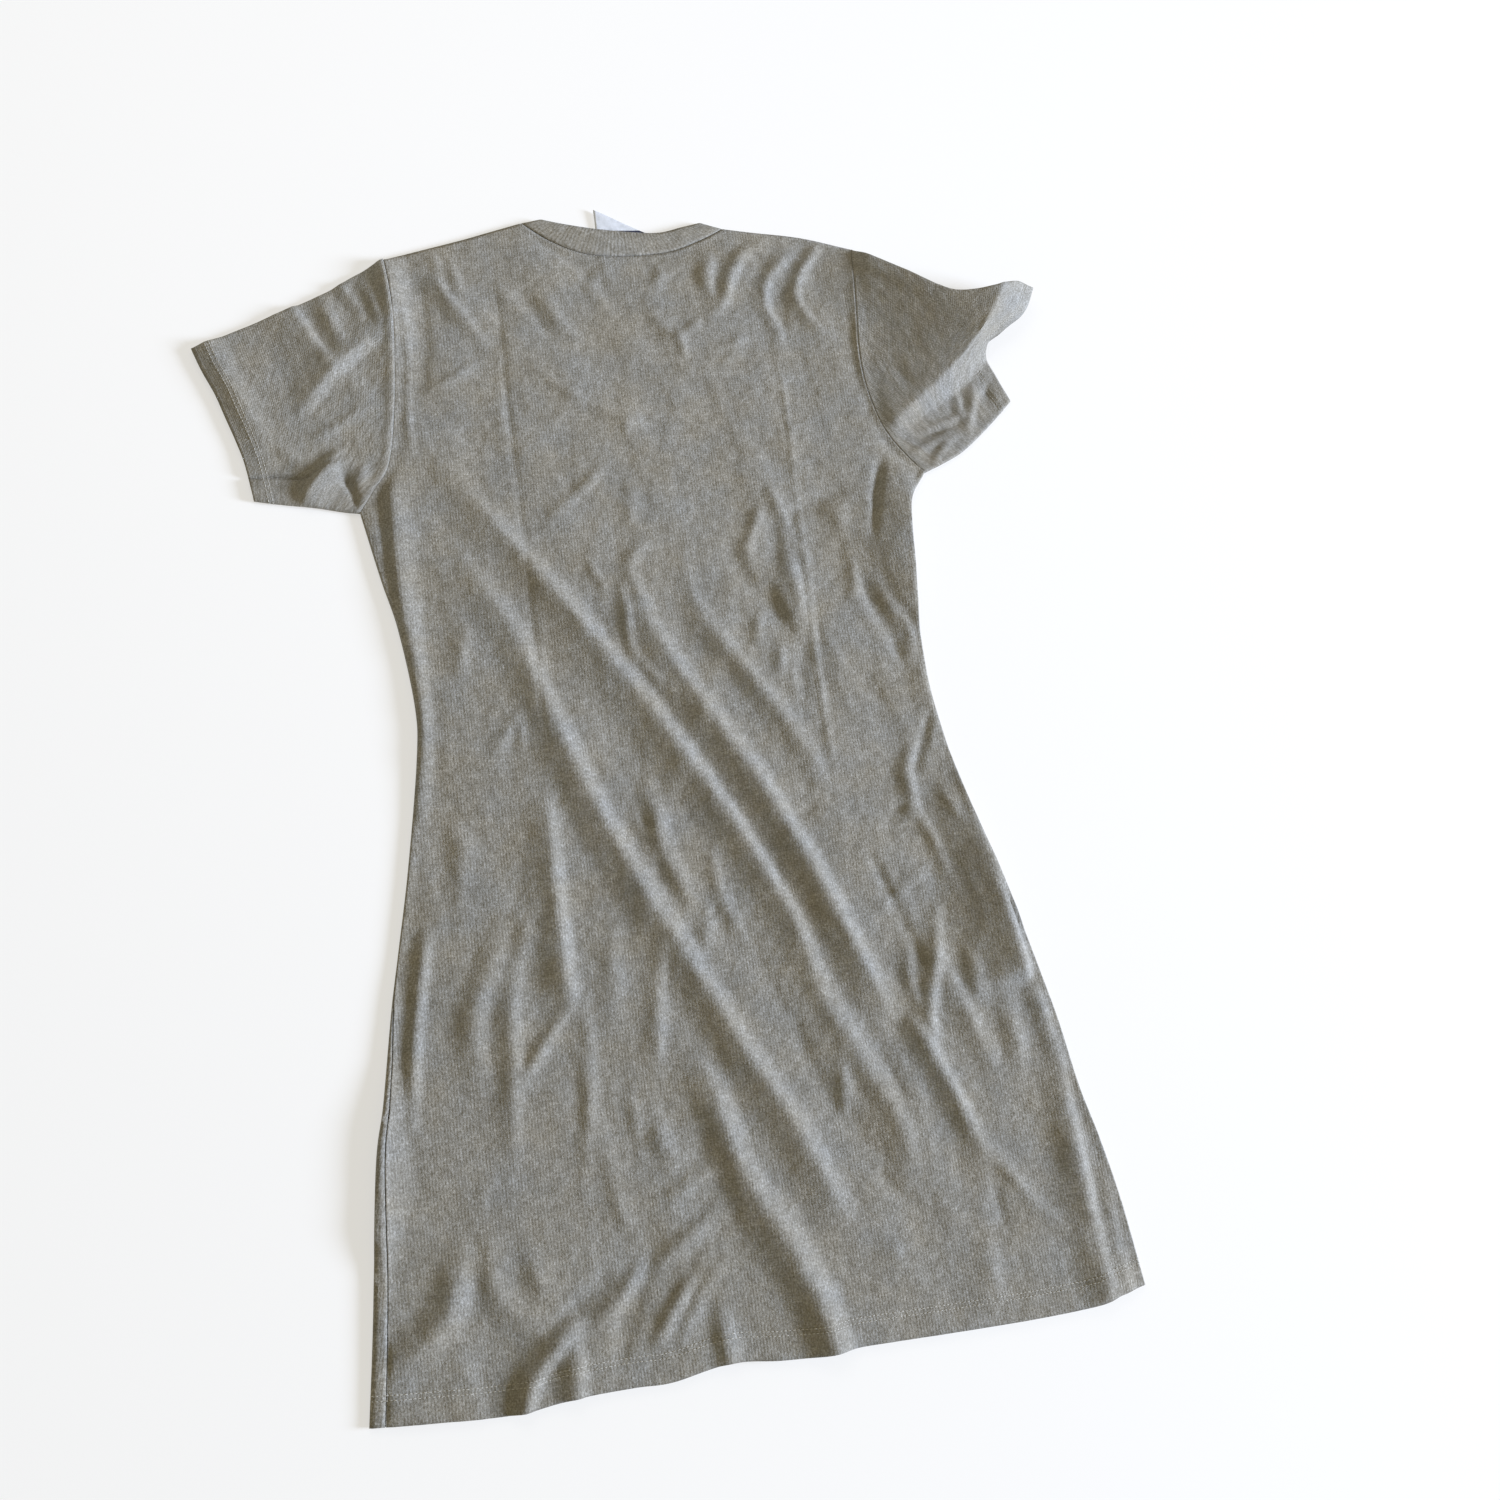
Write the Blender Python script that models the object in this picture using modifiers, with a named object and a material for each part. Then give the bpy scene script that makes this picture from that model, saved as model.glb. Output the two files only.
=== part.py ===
"""T-shirt dress laid flat with its back up, in soft buckles as it came off the hanger.

Plan sizes are in millimetres, counted from the middle of the hem: x across, to the right,
and y up towards the neck. Heights are above the surface that the dress lies on.
The front panel lies underneath. The back panel lies on it, and meets it along rolled side
edges and shoulders. The sleeves are flattened tubes on the armholes.
"""

import math
from typing import NamedTuple

import bmesh
import bpy
import numpy as np

MM = 0.001
PLAN_CENTRE = np.array([1.5, 442.0])

CLOTH = 1.2
SEAM_GAP = 0.3
ROLLED_SEAM_GAP = 1.2
ROLL = 1.4
LOW = CLOTH / 2
HIGH = LOW + 2 * ROLL
MIDDLE = LOW + ROLL
LAYER_GAP = 0.3
ON_FRONT = LOW + CLOTH + LAYER_GAP
EDGE_SWELL = 14.0

ARMPIT_AT = 0.72
NECK_FROM = 0.3
NECK_TO = 0.7
SIDE_ROWS = 13
ARMHOLE_ROWS = 8
SHOULDER_COLUMNS = 3
NECK_COLUMNS = 8
CURL_STEPS = 4
BACK_EDGE_STEPS = 2
BACK_FINENESS_UP = 2
BACK_FINENESS_ACROSS = 3

BAND_SEAM_GAP = 0.8
BAND_STEPS = 2
LABEL_WALL = 1.0
LABEL_STEPS = 4
SMOOTH_ANGLE = math.radians(50)


class Line:
    """A smooth line through a few points, followed from 0 to 1 by distance."""

    FINENESS = 24

    def __init__(self, *points):
        knots = np.array(points, float)
        ends = np.vstack([2 * knots[0] - knots[1], knots, 2 * knots[-1] - knots[-2]])
        steps = np.linspace(0, 1, self.FINENESS, endpoint=False)[:, None]
        runs = []
        for before, start, end, after in zip(ends, ends[1:], ends[2:], ends[3:]):
            slope_in, slope_out = (end - before) / 2, (after - start) / 2
            runs.append(
                start * (2 * steps**3 - 3 * steps**2 + 1)
                + slope_in * (steps**3 - 2 * steps**2 + steps)
                + end * (3 * steps**2 - 2 * steps**3)
                + slope_out * (steps**3 - steps**2)
            )
        self.points = np.vstack(runs + [knots[-1:]])
        plan = self.points[:, :2]
        gaps = np.linalg.norm(np.diff(plan, axis=0), axis=1)
        self.length = gaps.sum()
        self.along = np.concatenate([[0], np.cumsum(gaps)]) / self.length

    def __call__(self, share):
        columns = [np.interp(share, self.along, column) for column in self.points.T]
        return np.stack(columns, axis=-1)


# Half outlines of the body. The right side was pulled in a little more than the left.
SIDE_LEFT = Line(
    (-271, 0), (-261, 100), (-246, 200), (-228, 300), (-208, 400), (-201, 475), (-211, 560), (-228, 635)
)
SIDE_RIGHT = Line(
    (271, 0), (259, 100), (244, 200), (221, 300), (199, 400), (191, 480), (197, 560), (204, 614), (220, 642)
)
ARMHOLE_LEFT = Line((-228, 635), (-217, 652), (-203, 674), (-196, 715), (-191, 785), (-194, 850))
ARMHOLE_RIGHT = Line((220, 642), (209, 655), (196, 674), (184, 715), (184, 785), (192, 850))
HEM = Line(
    (-271, 0), (-220, -5), (-175, -9), (-110, -5), (-40, -1), (30, -7), (110, -8), (175, -10), (225, -8), (271, 0)
)
SHOULDER_LEFT = Line((-194, 850), (-150, 861), (-110, 872), (-83, 881))
SHOULDER_RIGHT = Line((85, 872), (120, 867), (160, 860), (192, 850))
BACK_NECK_SEAM = Line((-83, 881), (-60, 863), (-33, 851), (0, 848), (35, 851), (63, 861), (85, 872))
BACK_NECK_EDGE = Line((-68, 884), (-48, 879), (-23, 874), (0, 871), (28, 869), (50, 874), (67, 878))
FRONT_NECK_SEAM = Line((-83, 881), (-78, 845), (-52, 796), (0, 778), (54, 796), (80, 842), (85, 872))
FRONT_NECK_EDGE = Line((-68, 884), (-61, 848), (-40, 811), (0, 796), (42, 811), (63, 845), (67, 878))

# Length of front panel that has rolled over the left edge, so that the seam lies on top of it.
ROLLED_OVER_HEIGHTS = (0, 150, 240, 300)
ROLLED_OVER = (11, 9, 4, 0)


class Fold(NamedTuple):
    """A ridge of cloth: its height, how far it spreads to the left and right of its crest, and its crest."""

    rise: float
    left: float
    right: float
    crest: Line


BACK_FOLDS = (
    Fold(9, 24, 20, Line((-165, 655), (-100, 575), (-50, 505), (0, 430), (50, 335), (90, 220), (120, 140))),
    Fold(7, 16, 16, Line((-30, 560), (10, 480), (50, 410), (90, 320), (122, 225))),
    Fold(7, 20, 18, Line((-112, 520), (-95, 450), (-68, 385), (-20, 265), (35, 155), (60, 100))),
    Fold(9, 20, 22, Line((-20, 190), (0, 120), (25, 60), (45, 0), (50, -40))),
    Fold(6, 14, 14, Line((-112, 400), (-112, 330), (-115, 250), (-150, 205))),
    Fold(5, 12, 12, Line((-192, 660), (-190, 580), (-184, 500))),
    Fold(5, 12, 16, Line((112, 850), (118, 760), (112, 660), (118, 560))),
    Fold(5, 14, 12, Line((190, 655), (170, 580), (176, 490), (190, 420))),
    Fold(6, 12, 16, Line((125, 335), (150, 260), (150, 200), (172, 110))),
    Fold(5, 14, 14, Line((-212, 300), (-225, 220), (-205, 120), (-165, 60), (-150, 0), (-148, -30))),
)

SLEEVE_LEFT_FOLDS = (
    Fold(5, 16, 18, Line((-332, 792), (-312, 746), (-300, 718), (-288, 690), (-282, 660))),
    Fold(5, 16, 14, Line((-222, 812), (-228, 775), (-244, 742), (-262, 725))),
)

RIDGE_FOOT_UP = 104.0
RIDGE_FOOT_DOWN = 46.0
RIDGE = Line(
    (318, 815, 37), (310, 797, 36), (301, 782, 34), (292, 763, 30), (275, 745, 22), (256, 728, 13), (232, 706, 0)
)


def nearest(line, points):
    """Distance of each point from the line, negative to its left, with the share along it of the nearest place."""
    crest = line(np.linspace(0, 1, 60))
    away = points[:, None, :] - crest[None, :, :2]
    gaps = np.linalg.norm(away, axis=2)
    index = gaps.argmin(axis=1)
    rows = np.arange(len(points))
    ahead = np.gradient(crest[:, :2], axis=0)[index]
    offset = away[rows, index]
    side = np.where(ahead[:, 0] * offset[:, 1] - ahead[:, 1] * offset[:, 0] > 0, 1, -1)
    return gaps[rows, index] * side, index / 59


def folds_height(folds, points):
    """Height that the folds add at each plan point."""
    height = np.zeros(len(points))
    for fold in folds:
        offset, share = nearest(fold.crest, points)
        spread = np.where(offset > 0, fold.right, fold.left)
        taper = np.sin(np.pi * share) ** 0.7
        height += fold.rise * taper * np.exp(-((offset / spread) ** 2))
    return height


def ridge_height(points):
    """Height of the tall buckle in the right sleeve: a long slope up from the shoulder, and a short one down."""
    offset, share = nearest(RIDGE, points)
    crest = np.interp(share, np.linspace(0, 1, 60), RIDGE(np.linspace(0, 1, 60))[:, 2])
    foot = np.where(offset > 0, RIDGE_FOOT_DOWN, RIDGE_FOOT_UP)
    return crest * (1 + np.cos(np.pi * np.clip(np.abs(offset) / foot, 0, 1))) / 2


def patch(left, right, bottom, top, across, up):
    """Point of the surface that spans four edge lines, at shares across and up."""
    corners = (
        (1 - across) * (1 - up) * bottom(0.0)
        + across * (1 - up) * bottom(1.0)
        + (1 - across) * up * top(0.0)
        + across * up * top(1.0)
    )
    sides = (1 - across) * left(up) + across * right(up)
    return sides + (1 - up) * bottom(across) + up * top(across) - corners


def in_order(lines, breaks):
    """One line out of several, each followed between two of the breaks."""

    def follow(share):
        index = min(int(np.searchsorted(breaks, share, side="right")) - 1, len(lines) - 1)
        start, end = breaks[index], breaks[index + 1]
        return lines[index]((share - start) / (end - start))

    return follow


def faceted(line, stations):
    """The straight runs between a line's points at the stations, so that neighbours with more points still fit."""
    corners = np.array([line(share) for share in stations])

    def follow(share):
        return np.array([np.interp(share, stations, column) for column in corners.T])

    return follow


def end_steps(count, length):
    """Shares along a seam that ends in a rolled edge: even steps, with one more at the roll's width from each end."""
    return [0.0, ROLL / length, *(step / count for step in range(1, count)), 1 - ROLL / length, 1.0]


def finer(stations, parts):
    """The stations with each gap split into equal parts."""
    gaps = zip(stations, stations[1:])
    return [a + (b - a) * step / parts for a, b in gaps for step in range(parts)] + [stations[-1]]


SIDE_STATIONS = [ARMPIT_AT * row / SIDE_ROWS for row in range(SIDE_ROWS + 1)]
SEAM_STEPS = end_steps(ARMHOLE_ROWS, ARMHOLE_LEFT.length)
ARMHOLE_STATIONS = [ARMPIT_AT + (1 - ARMPIT_AT) * step for step in SEAM_STEPS[1:]]
ROWS = SIDE_STATIONS + ARMHOLE_STATIONS
BACK_ROWS = finer(SIDE_STATIONS, BACK_FINENESS_UP) + ARMHOLE_STATIONS
NECK_STEPS = end_steps(NECK_COLUMNS, BACK_NECK_SEAM.length)
NECK_STATIONS = [NECK_FROM + (NECK_TO - NECK_FROM) * step for step in NECK_STEPS]
SHOULDER_STATIONS = [NECK_FROM * column / SHOULDER_COLUMNS for column in range(SHOULDER_COLUMNS + 1)]
TOP_STATIONS = SHOULDER_STATIONS + NECK_STATIONS[1:-1] + [1 - share for share in SHOULDER_STATIONS[::-1]]

LEFT = faceted(in_order([SIDE_LEFT, ARMHOLE_LEFT], [0, ARMPIT_AT, 1]), ROWS)
RIGHT = faceted(in_order([SIDE_RIGHT, ARMHOLE_RIGHT], [0, ARMPIT_AT, 1]), ROWS)


def panel_top(neck_seam):
    """Top edge of a panel: left shoulder, neckline, right shoulder."""
    lines = [SHOULDER_LEFT, neck_seam, SHOULDER_RIGHT]
    return faceted(in_order(lines, [0, NECK_FROM, NECK_TO, 1]), TOP_STATIONS)


def rolled(arc):
    """Distance in from the outline, and height, at a distance along the cloth from the start of its rolled edge."""
    turn = min(max(arc, 0) / ROLL, math.pi)
    past = max(arc - math.pi * ROLL, 0) - min(arc, 0)
    return ROLL * (1 - math.sin(turn)) + past, LOW + ROLL * (1 - math.cos(turn))


def seam_arc(side, height):
    """Where the side seam lies, as a distance along the cloth from the start of the rolled edge."""
    over = float(np.interp(height, ROLLED_OVER_HEIGHTS, ROLLED_OVER)) if side == "left" else 0.0
    return math.pi * ROLL / 2 + over, min(over / 3, 1)


def front_edge(side, up):
    """Distances in and heights of the front panel's points from the seam round its rolled edge."""
    steps = np.arange(CURL_STEPS + 1) / CURL_STEPS
    if up > ARMPIT_AT:
        return [(ROLL * step, LOW) for step in steps]
    seam, moved = seam_arc(side, (LEFT if side == "left" else RIGHT)(up)[1])
    quarter = math.pi * ROLL / 4
    end = seam - ROLLED_SEAM_GAP / 2
    tight = steps * end
    loose = np.array([0, quarter, 2 * quarter, 4 * quarter, end])
    arcs = (1 - moved) * tight + moved * loose
    return [rolled(arc) for arc in arcs[::-1]]


def back_edge(side, up):
    """Distances in and heights of the back panel's points from the seam to where it lies level."""
    steps = np.arange(BACK_EDGE_STEPS + 1) / BACK_EDGE_STEPS
    if up > ARMPIT_AT:
        return [(ROLL * step, HIGH) for step in steps]
    seam, _ = seam_arc(side, (LEFT if side == "left" else RIGHT)(up)[1])
    start = seam + ROLLED_SEAM_GAP / 2
    return [rolled(start + step * (math.pi * ROLL - ROLLED_SEAM_GAP) / 2) for step in steps]


def grid(name, columns, rows, place, closed=False):
    """A mesh of columns by rows of faces, with each corner where place(column, row) puts it, in millimetres."""
    mesh = bmesh.new()
    bmesh.ops.create_grid(mesh, x_segments=columns, y_segments=rows, size=0.5)
    for corner in mesh.verts:
        column = round((corner.co.x + 0.5) * columns)
        row = round((corner.co.y + 0.5) * rows)
        x, y, z = place(column, row)
        corner.co = ((x - PLAN_CENTRE[0]) * MM, (y - PLAN_CENTRE[1]) * MM, z * MM)
    if closed:
        bmesh.ops.remove_doubles(mesh, verts=mesh.verts, dist=MM * 0.001)
    data = bpy.data.meshes.new(name)
    mesh.to_mesh(data)
    mesh.free()
    piece = bpy.data.objects.new(name, data)
    PIECES.objects.link(piece)
    return piece


def make_cloth(piece, wall, material):
    """Gives a surface its wall, its smooth shading and its material."""
    thickness = piece.modifiers.new("wall", "SOLIDIFY")
    thickness.thickness = wall * MM
    thickness.offset = 0
    piece.data.materials.append(material)
    piece.data.shade_smooth()
    piece.data.set_sharp_from_angle(angle=SMOOTH_ANGLE)


def fabric(name, colour, roughness):
    """A plain cloth material."""
    material = bpy.data.materials.new(name)
    material.use_nodes = True
    shader = material.node_tree.nodes["Principled BSDF"]
    shader.inputs["Base Color"].default_value = (*colour, 1)
    shader.inputs["Roughness"].default_value = roughness
    shader.inputs["Metallic"].default_value = 0
    return material


def panel_grid(rows, inner, neck_seam, edge, level):
    """Corner places of a panel: its two side edges by arc, and the cloth between them by share across."""
    top = panel_top(neck_seam)
    places = []
    for up in rows:
        width = np.linalg.norm(RIGHT(up) - LEFT(up))
        left = [(distance / width, height) for distance, height in edge("left", up)]
        right = [(1 - distance / width, height) for distance, height in edge("right", up)]
        middle = [(share, None) for share in inner]
        row = []
        for across, height in left + middle + right[::-1]:
            plan = patch(LEFT, RIGHT, HEM, top, across, up)
            row.append([*plan, np.nan if height is None else height])
        places.append(row)
    places = np.array(places)
    free = np.isnan(places[..., 2])
    places[..., 2][free] = level(places[free][:, :2])
    return places


def roll_shoulders(places, columns, seam_height):
    """Brings the top row of each shoulder down or up to the seam."""
    for column, share in enumerate(columns):
        if share <= NECK_FROM or share >= NECK_TO:
            places[-1, column, 2] = seam_height


def make_front_panel(material):
    """The front, flat on the surface, with its side edges and shoulders rolled up to the seams."""
    inner = TOP_STATIONS[1:-1]
    places = panel_grid(ROWS, inner, FRONT_NECK_SEAM, front_edge, lambda plan: np.full(len(plan), LOW))
    shares = [0] * (CURL_STEPS + 1) + inner + [1] * (CURL_STEPS + 1)
    roll_shoulders(places, shares, MIDDLE - ROLLED_SEAM_GAP / 2)
    piece = grid("front_panel", len(shares) - 1, len(ROWS) - 1, lambda column, row: places[row, column])
    make_cloth(piece, CLOTH, material)


def edge_distance(plan):
    """Rough distance of each plan point in from the nearest sewn edge of the back panel."""
    distance = np.full(len(plan), np.inf)
    for line in (SIDE_LEFT, SIDE_RIGHT, ARMHOLE_LEFT, ARMHOLE_RIGHT, SHOULDER_LEFT, SHOULDER_RIGHT, BACK_NECK_SEAM):
        distance = np.minimum(distance, np.abs(nearest(line, plan)[0]))
    return distance


def back_level(plan):
    """Height of the back panel: on the front panel, thicker by the sewn edges, and up over the folds."""
    inside = np.exp(-((edge_distance(plan) / EDGE_SWELL) ** 2))
    return ON_FRONT + (HIGH - ON_FRONT) * inside + folds_height(BACK_FOLDS, plan) * (1 - inside)


def make_back_panel(material):
    """The back, which lies on the front and carries the large folds."""
    inner = finer(SHOULDER_STATIONS, BACK_FINENESS_ACROSS)[1:]
    inner = inner + NECK_STATIONS[1:-1] + [1 - share for share in inner[::-1]]
    places = panel_grid(BACK_ROWS, inner, BACK_NECK_SEAM, back_edge, back_level)
    shares = [0] * (BACK_EDGE_STEPS + 1) + inner + [1] * (BACK_EDGE_STEPS + 1)
    places[-2:, :, 2] = HIGH
    roll_shoulders(places, shares, MIDDLE + ROLLED_SEAM_GAP / 2)
    piece = grid("back_panel", len(shares) - 1, len(BACK_ROWS) - 1, lambda column, row: places[row, column])
    make_cloth(piece, CLOTH, material)


def ring_heights(steps):
    """Heights round a flattened tube: over the top layer from one fold to the other, and back underneath."""
    layer = len(steps) - 2
    return [MIDDLE, *[HIGH] * layer, MIDDLE, *[LOW] * layer, MIDDLE]


def make_sleeve(name, armhole, top_fold, cuff, under_fold, along, lift, material):
    """A sleeve: a flattened tube from the armhole to the cuff, both of its layers lifted alike by its folds."""
    steps = [1 - share for share in SEAM_STEPS[::-1]]
    ring = steps + steps[-2::-1]
    heights = ring_heights(steps)
    seam = faceted(lambda share: armhole(1 - share), steps)
    places = np.zeros((along + 1, len(ring), 3))
    for row in range(along + 1):
        for column, around in enumerate(ring):
            plan = patch(top_fold, under_fold, seam, cuff, around, row / along)
            places[row, column, :2] = plan
    out = places[1, :, :2] - places[0, :, :2]
    places[0, :, :2] += out / np.linalg.norm(out, axis=1)[:, None] * SEAM_GAP * 1.3
    for row in range(along + 1):
        places[row, :, 2] = heights + lift(places[row, :, :2]) * min(row / 2, 1)
    piece = grid(name, len(ring) - 1, along, lambda column, row: places[row, column], closed=True)
    make_cloth(piece, CLOTH, material)


def make_sleeves(material):
    """The left sleeve lies flat. The right one is pushed up into a tall buckle that runs in from its cuff."""
    make_sleeve(
        "sleeve_left",
        ARMHOLE_LEFT,
        top_fold=Line((-194, 850), (-220, 834), (-240, 821), (-290, 799), (-342, 777)),
        cuff=Line((-342, 777), (-327, 740), (-314, 700), (-304, 650)),
        under_fold=Line((-228, 635), (-257, 641), (-304, 650)),
        along=8,
        lift=lambda plan: folds_height(SLEEVE_LEFT_FOLDS, plan),
        material=material,
    )
    make_sleeve(
        "sleeve_right",
        ARMHOLE_RIGHT,
        top_fold=Line((192, 850), (228, 829), (254, 807), (276, 797), (302, 798), (325, 799), (345, 802)),
        cuff=Line((345, 802), (330, 778), (306, 760), (296, 747), (301, 723), (308, 702)),
        under_fold=Line((220, 642), (239, 650), (258, 660), (283, 680), (308, 702)),
        along=11,
        lift=ridge_height,
        material=material,
    )


def make_neckband(material):
    """The band: a flattened ring, its back half on top and its deeper front half underneath."""
    ring = NECK_STEPS + NECK_STEPS[-2::-1]
    heights = ring_heights(NECK_STEPS)
    back_count = len(NECK_STEPS)
    places = np.zeros((BAND_STEPS + 1, len(ring), 3))
    for column, around in enumerate(ring):
        on_back = column < back_count or column == len(ring) - 1
        seam = faceted(BACK_NECK_SEAM if on_back else FRONT_NECK_SEAM, NECK_STEPS)(around)
        edge = (BACK_NECK_EDGE if on_back else FRONT_NECK_EDGE)(around)
        width = np.linalg.norm(edge - seam)
        for row in range(BAND_STEPS + 1):
            share = BAND_SEAM_GAP / width + (1 - BAND_SEAM_GAP / width) * row / BAND_STEPS
            places[row, column] = [*(seam + (edge - seam) * share), heights[column]]
    piece = grid("neckband", len(ring) - 1, BAND_STEPS, lambda column, row: places[row, column], closed=True)
    make_cloth(piece, CLOTH, material)


def make_label(material):
    """The label: caught in the seam under the back band, with its slanting top edge out past it."""
    low_left, low_right = np.array([-21, 852]), np.array([20, 852])
    top_left, top_right = np.array([-22, 894]), np.array([20, 871])

    def place(column, row):
        across, up = column / LABEL_STEPS, row / LABEL_STEPS
        low = low_left + (low_right - low_left) * across
        top = top_left + (top_right - top_left) * across
        return [*(low + (top - low) * up), 1.2 + 1.8 * max(up - 0.5, 0) * (1 - across)]

    piece = grid("neck_label", LABEL_STEPS, LABEL_STEPS, place)
    make_cloth(piece, LABEL_WALL, material)


for old in list(bpy.data.objects):
    bpy.data.objects.remove(old, do_unlink=True)
PIECES = bpy.data.collections.new("t_shirt_dress")
bpy.context.scene.collection.children.link(PIECES)

jersey = fabric("taupe jersey", (0.235, 0.222, 0.195), 0.9)
ribbing = fabric("taupe rib", (0.215, 0.205, 0.180), 0.9)
ribbon = fabric("white ribbon", (0.80, 0.81, 0.84), 0.5)

make_front_panel(jersey)
make_back_panel(jersey)
make_sleeves(jersey)
make_neckband(ribbing)
make_label(ribbon)
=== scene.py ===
"""Looks of a t-shirt dress laid flat with its back up, in the buckles of one fresh off its hanger.

Plan sizes are in millimetres, counted from the middle of the hem: x across, to the right, and y up
towards the neck. Heights are above the surface that the dress lies on.
"""

import logging
import math
from collections.abc import Callable, Sequence
from dataclasses import dataclass
from enum import Enum

import bpy
import numpy as np
from bpy.types import Material, Node, NodeSocket as Socket, NodeTree as Tree, Object
from mathutils import Matrix, Vector


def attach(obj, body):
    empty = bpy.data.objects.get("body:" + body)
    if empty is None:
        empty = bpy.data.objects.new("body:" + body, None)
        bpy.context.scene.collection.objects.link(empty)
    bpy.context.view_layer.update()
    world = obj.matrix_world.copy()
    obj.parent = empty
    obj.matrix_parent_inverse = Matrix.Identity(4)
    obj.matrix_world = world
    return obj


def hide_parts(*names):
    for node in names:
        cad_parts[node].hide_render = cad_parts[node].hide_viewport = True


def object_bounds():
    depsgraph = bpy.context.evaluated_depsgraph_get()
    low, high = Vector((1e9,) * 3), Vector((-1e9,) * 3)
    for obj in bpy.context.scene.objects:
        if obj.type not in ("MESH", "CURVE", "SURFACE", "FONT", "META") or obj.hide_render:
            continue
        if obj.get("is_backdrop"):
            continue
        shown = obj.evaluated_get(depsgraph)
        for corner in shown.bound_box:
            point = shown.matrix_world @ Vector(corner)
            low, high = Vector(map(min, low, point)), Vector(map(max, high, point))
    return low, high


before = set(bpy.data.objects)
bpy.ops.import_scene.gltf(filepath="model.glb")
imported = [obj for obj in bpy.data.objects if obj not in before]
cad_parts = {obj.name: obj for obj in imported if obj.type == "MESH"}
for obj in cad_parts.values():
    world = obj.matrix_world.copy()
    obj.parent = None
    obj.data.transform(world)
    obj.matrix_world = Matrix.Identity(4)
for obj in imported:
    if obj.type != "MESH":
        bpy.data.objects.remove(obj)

LOG = logging.getLogger("dress")
MM = 0.001
PLAN_CENTRE = np.array([1.5, 442.0])
SMOOTH_ANGLE = math.radians(60)

# The cloth's wall, the radius that it turns over at an edge, and the height of its middle surface
# in the lower layer, at a side seam, in the upper layer at a seam, and where it lies on the front.
CLOTH = 1.2
ROLL = 1.4
LOW = CLOTH / 2
MIDDLE = LOW + ROLL
HIGH = LOW + 2 * ROLL
ON_FRONT = 2.1


# ------------------------------------------------------------------ lines and relief


class Line:
    """A smooth line through a few points, followed from 0 to 1 by distance in plan."""

    # Steps between two points, spacing of the chords that distances are measured from, and how many
    # places are measured at once.
    FINENESS = 24
    CHORD = 4.0
    GROUP = 4000

    def __init__(self, *points: Sequence[float]) -> None:
        """Fits the line.

        Args:
            points: Places that the line goes through, each x and y and, where it has one, a height.
        """
        knots = np.array(points, float)
        ends = np.vstack([2 * knots[0] - knots[1], knots, 2 * knots[-1] - knots[-2]])
        steps = np.linspace(0, 1, self.FINENESS, endpoint=False)[:, None]
        runs = []
        for before, start, end, after in zip(ends, ends[1:], ends[2:], ends[3:]):
            slope_in, slope_out = (end - before) / 2, (after - start) / 2
            runs.append(
                start * (2 * steps**3 - 3 * steps**2 + 1)
                + slope_in * (steps**3 - 2 * steps**2 + steps)
                + end * (3 * steps**2 - 2 * steps**3)
                + slope_out * (steps**3 - steps**2)
            )
        self.points = np.vstack(runs + [knots[-1:]])
        gaps = np.linalg.norm(np.diff(self.points[:, :2], axis=0), axis=1)
        self.length = float(gaps.sum())
        self.along = np.concatenate([[0], np.cumsum(gaps)]) / self.length

    def __call__(self, share: np.ndarray | float) -> np.ndarray:
        """Places at shares of the length, one for each share."""
        columns = [np.interp(share, self.along, column) for column in self.points.T]
        return np.stack(columns, axis=-1)

    def nearest(self, places: np.ndarray, reach: float) -> tuple[np.ndarray, np.ndarray]:
        """How far plan places are from the line.

        Args:
            places: Plan places, one a row.
            reach: Distance past which a place may be left out.

        Returns:
            Distances, positive on the right of a line that runs down, and the shares of the
            nearest points.
        """
        knots = self(np.linspace(0, 1, max(2, round(self.length / self.CHORD)) + 1))[:, :2]
        start, run = knots[:-1], np.diff(knots, axis=0)
        size = np.maximum((run**2).sum(axis=1), 1e-9)
        offset, share = np.full(len(places), np.inf), np.zeros(len(places))
        inside = (places > knots.min(axis=0) - reach) & (places < knots.max(axis=0) + reach)
        near = np.flatnonzero(inside.all(axis=1))
        for group in np.array_split(near, len(near) // self.GROUP + 1):
            if not len(group):
                continue
            away = places[group, None] - start
            along = np.clip((away * run).sum(axis=-1) / size, 0, 1)
            square = ((away - along[..., None] * run) ** 2).sum(axis=-1)
            best, rows = square.argmin(axis=1), np.arange(len(group))
            turn = run[best, 0] * away[rows, best, 1] - run[best, 1] * away[rows, best, 0]
            offset[group] = np.sqrt(square[rows, best]) * np.where(turn > 0, 1, -1)
            share[group] = (best + along[rows, best]) / len(run)
        return offset, share


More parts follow.
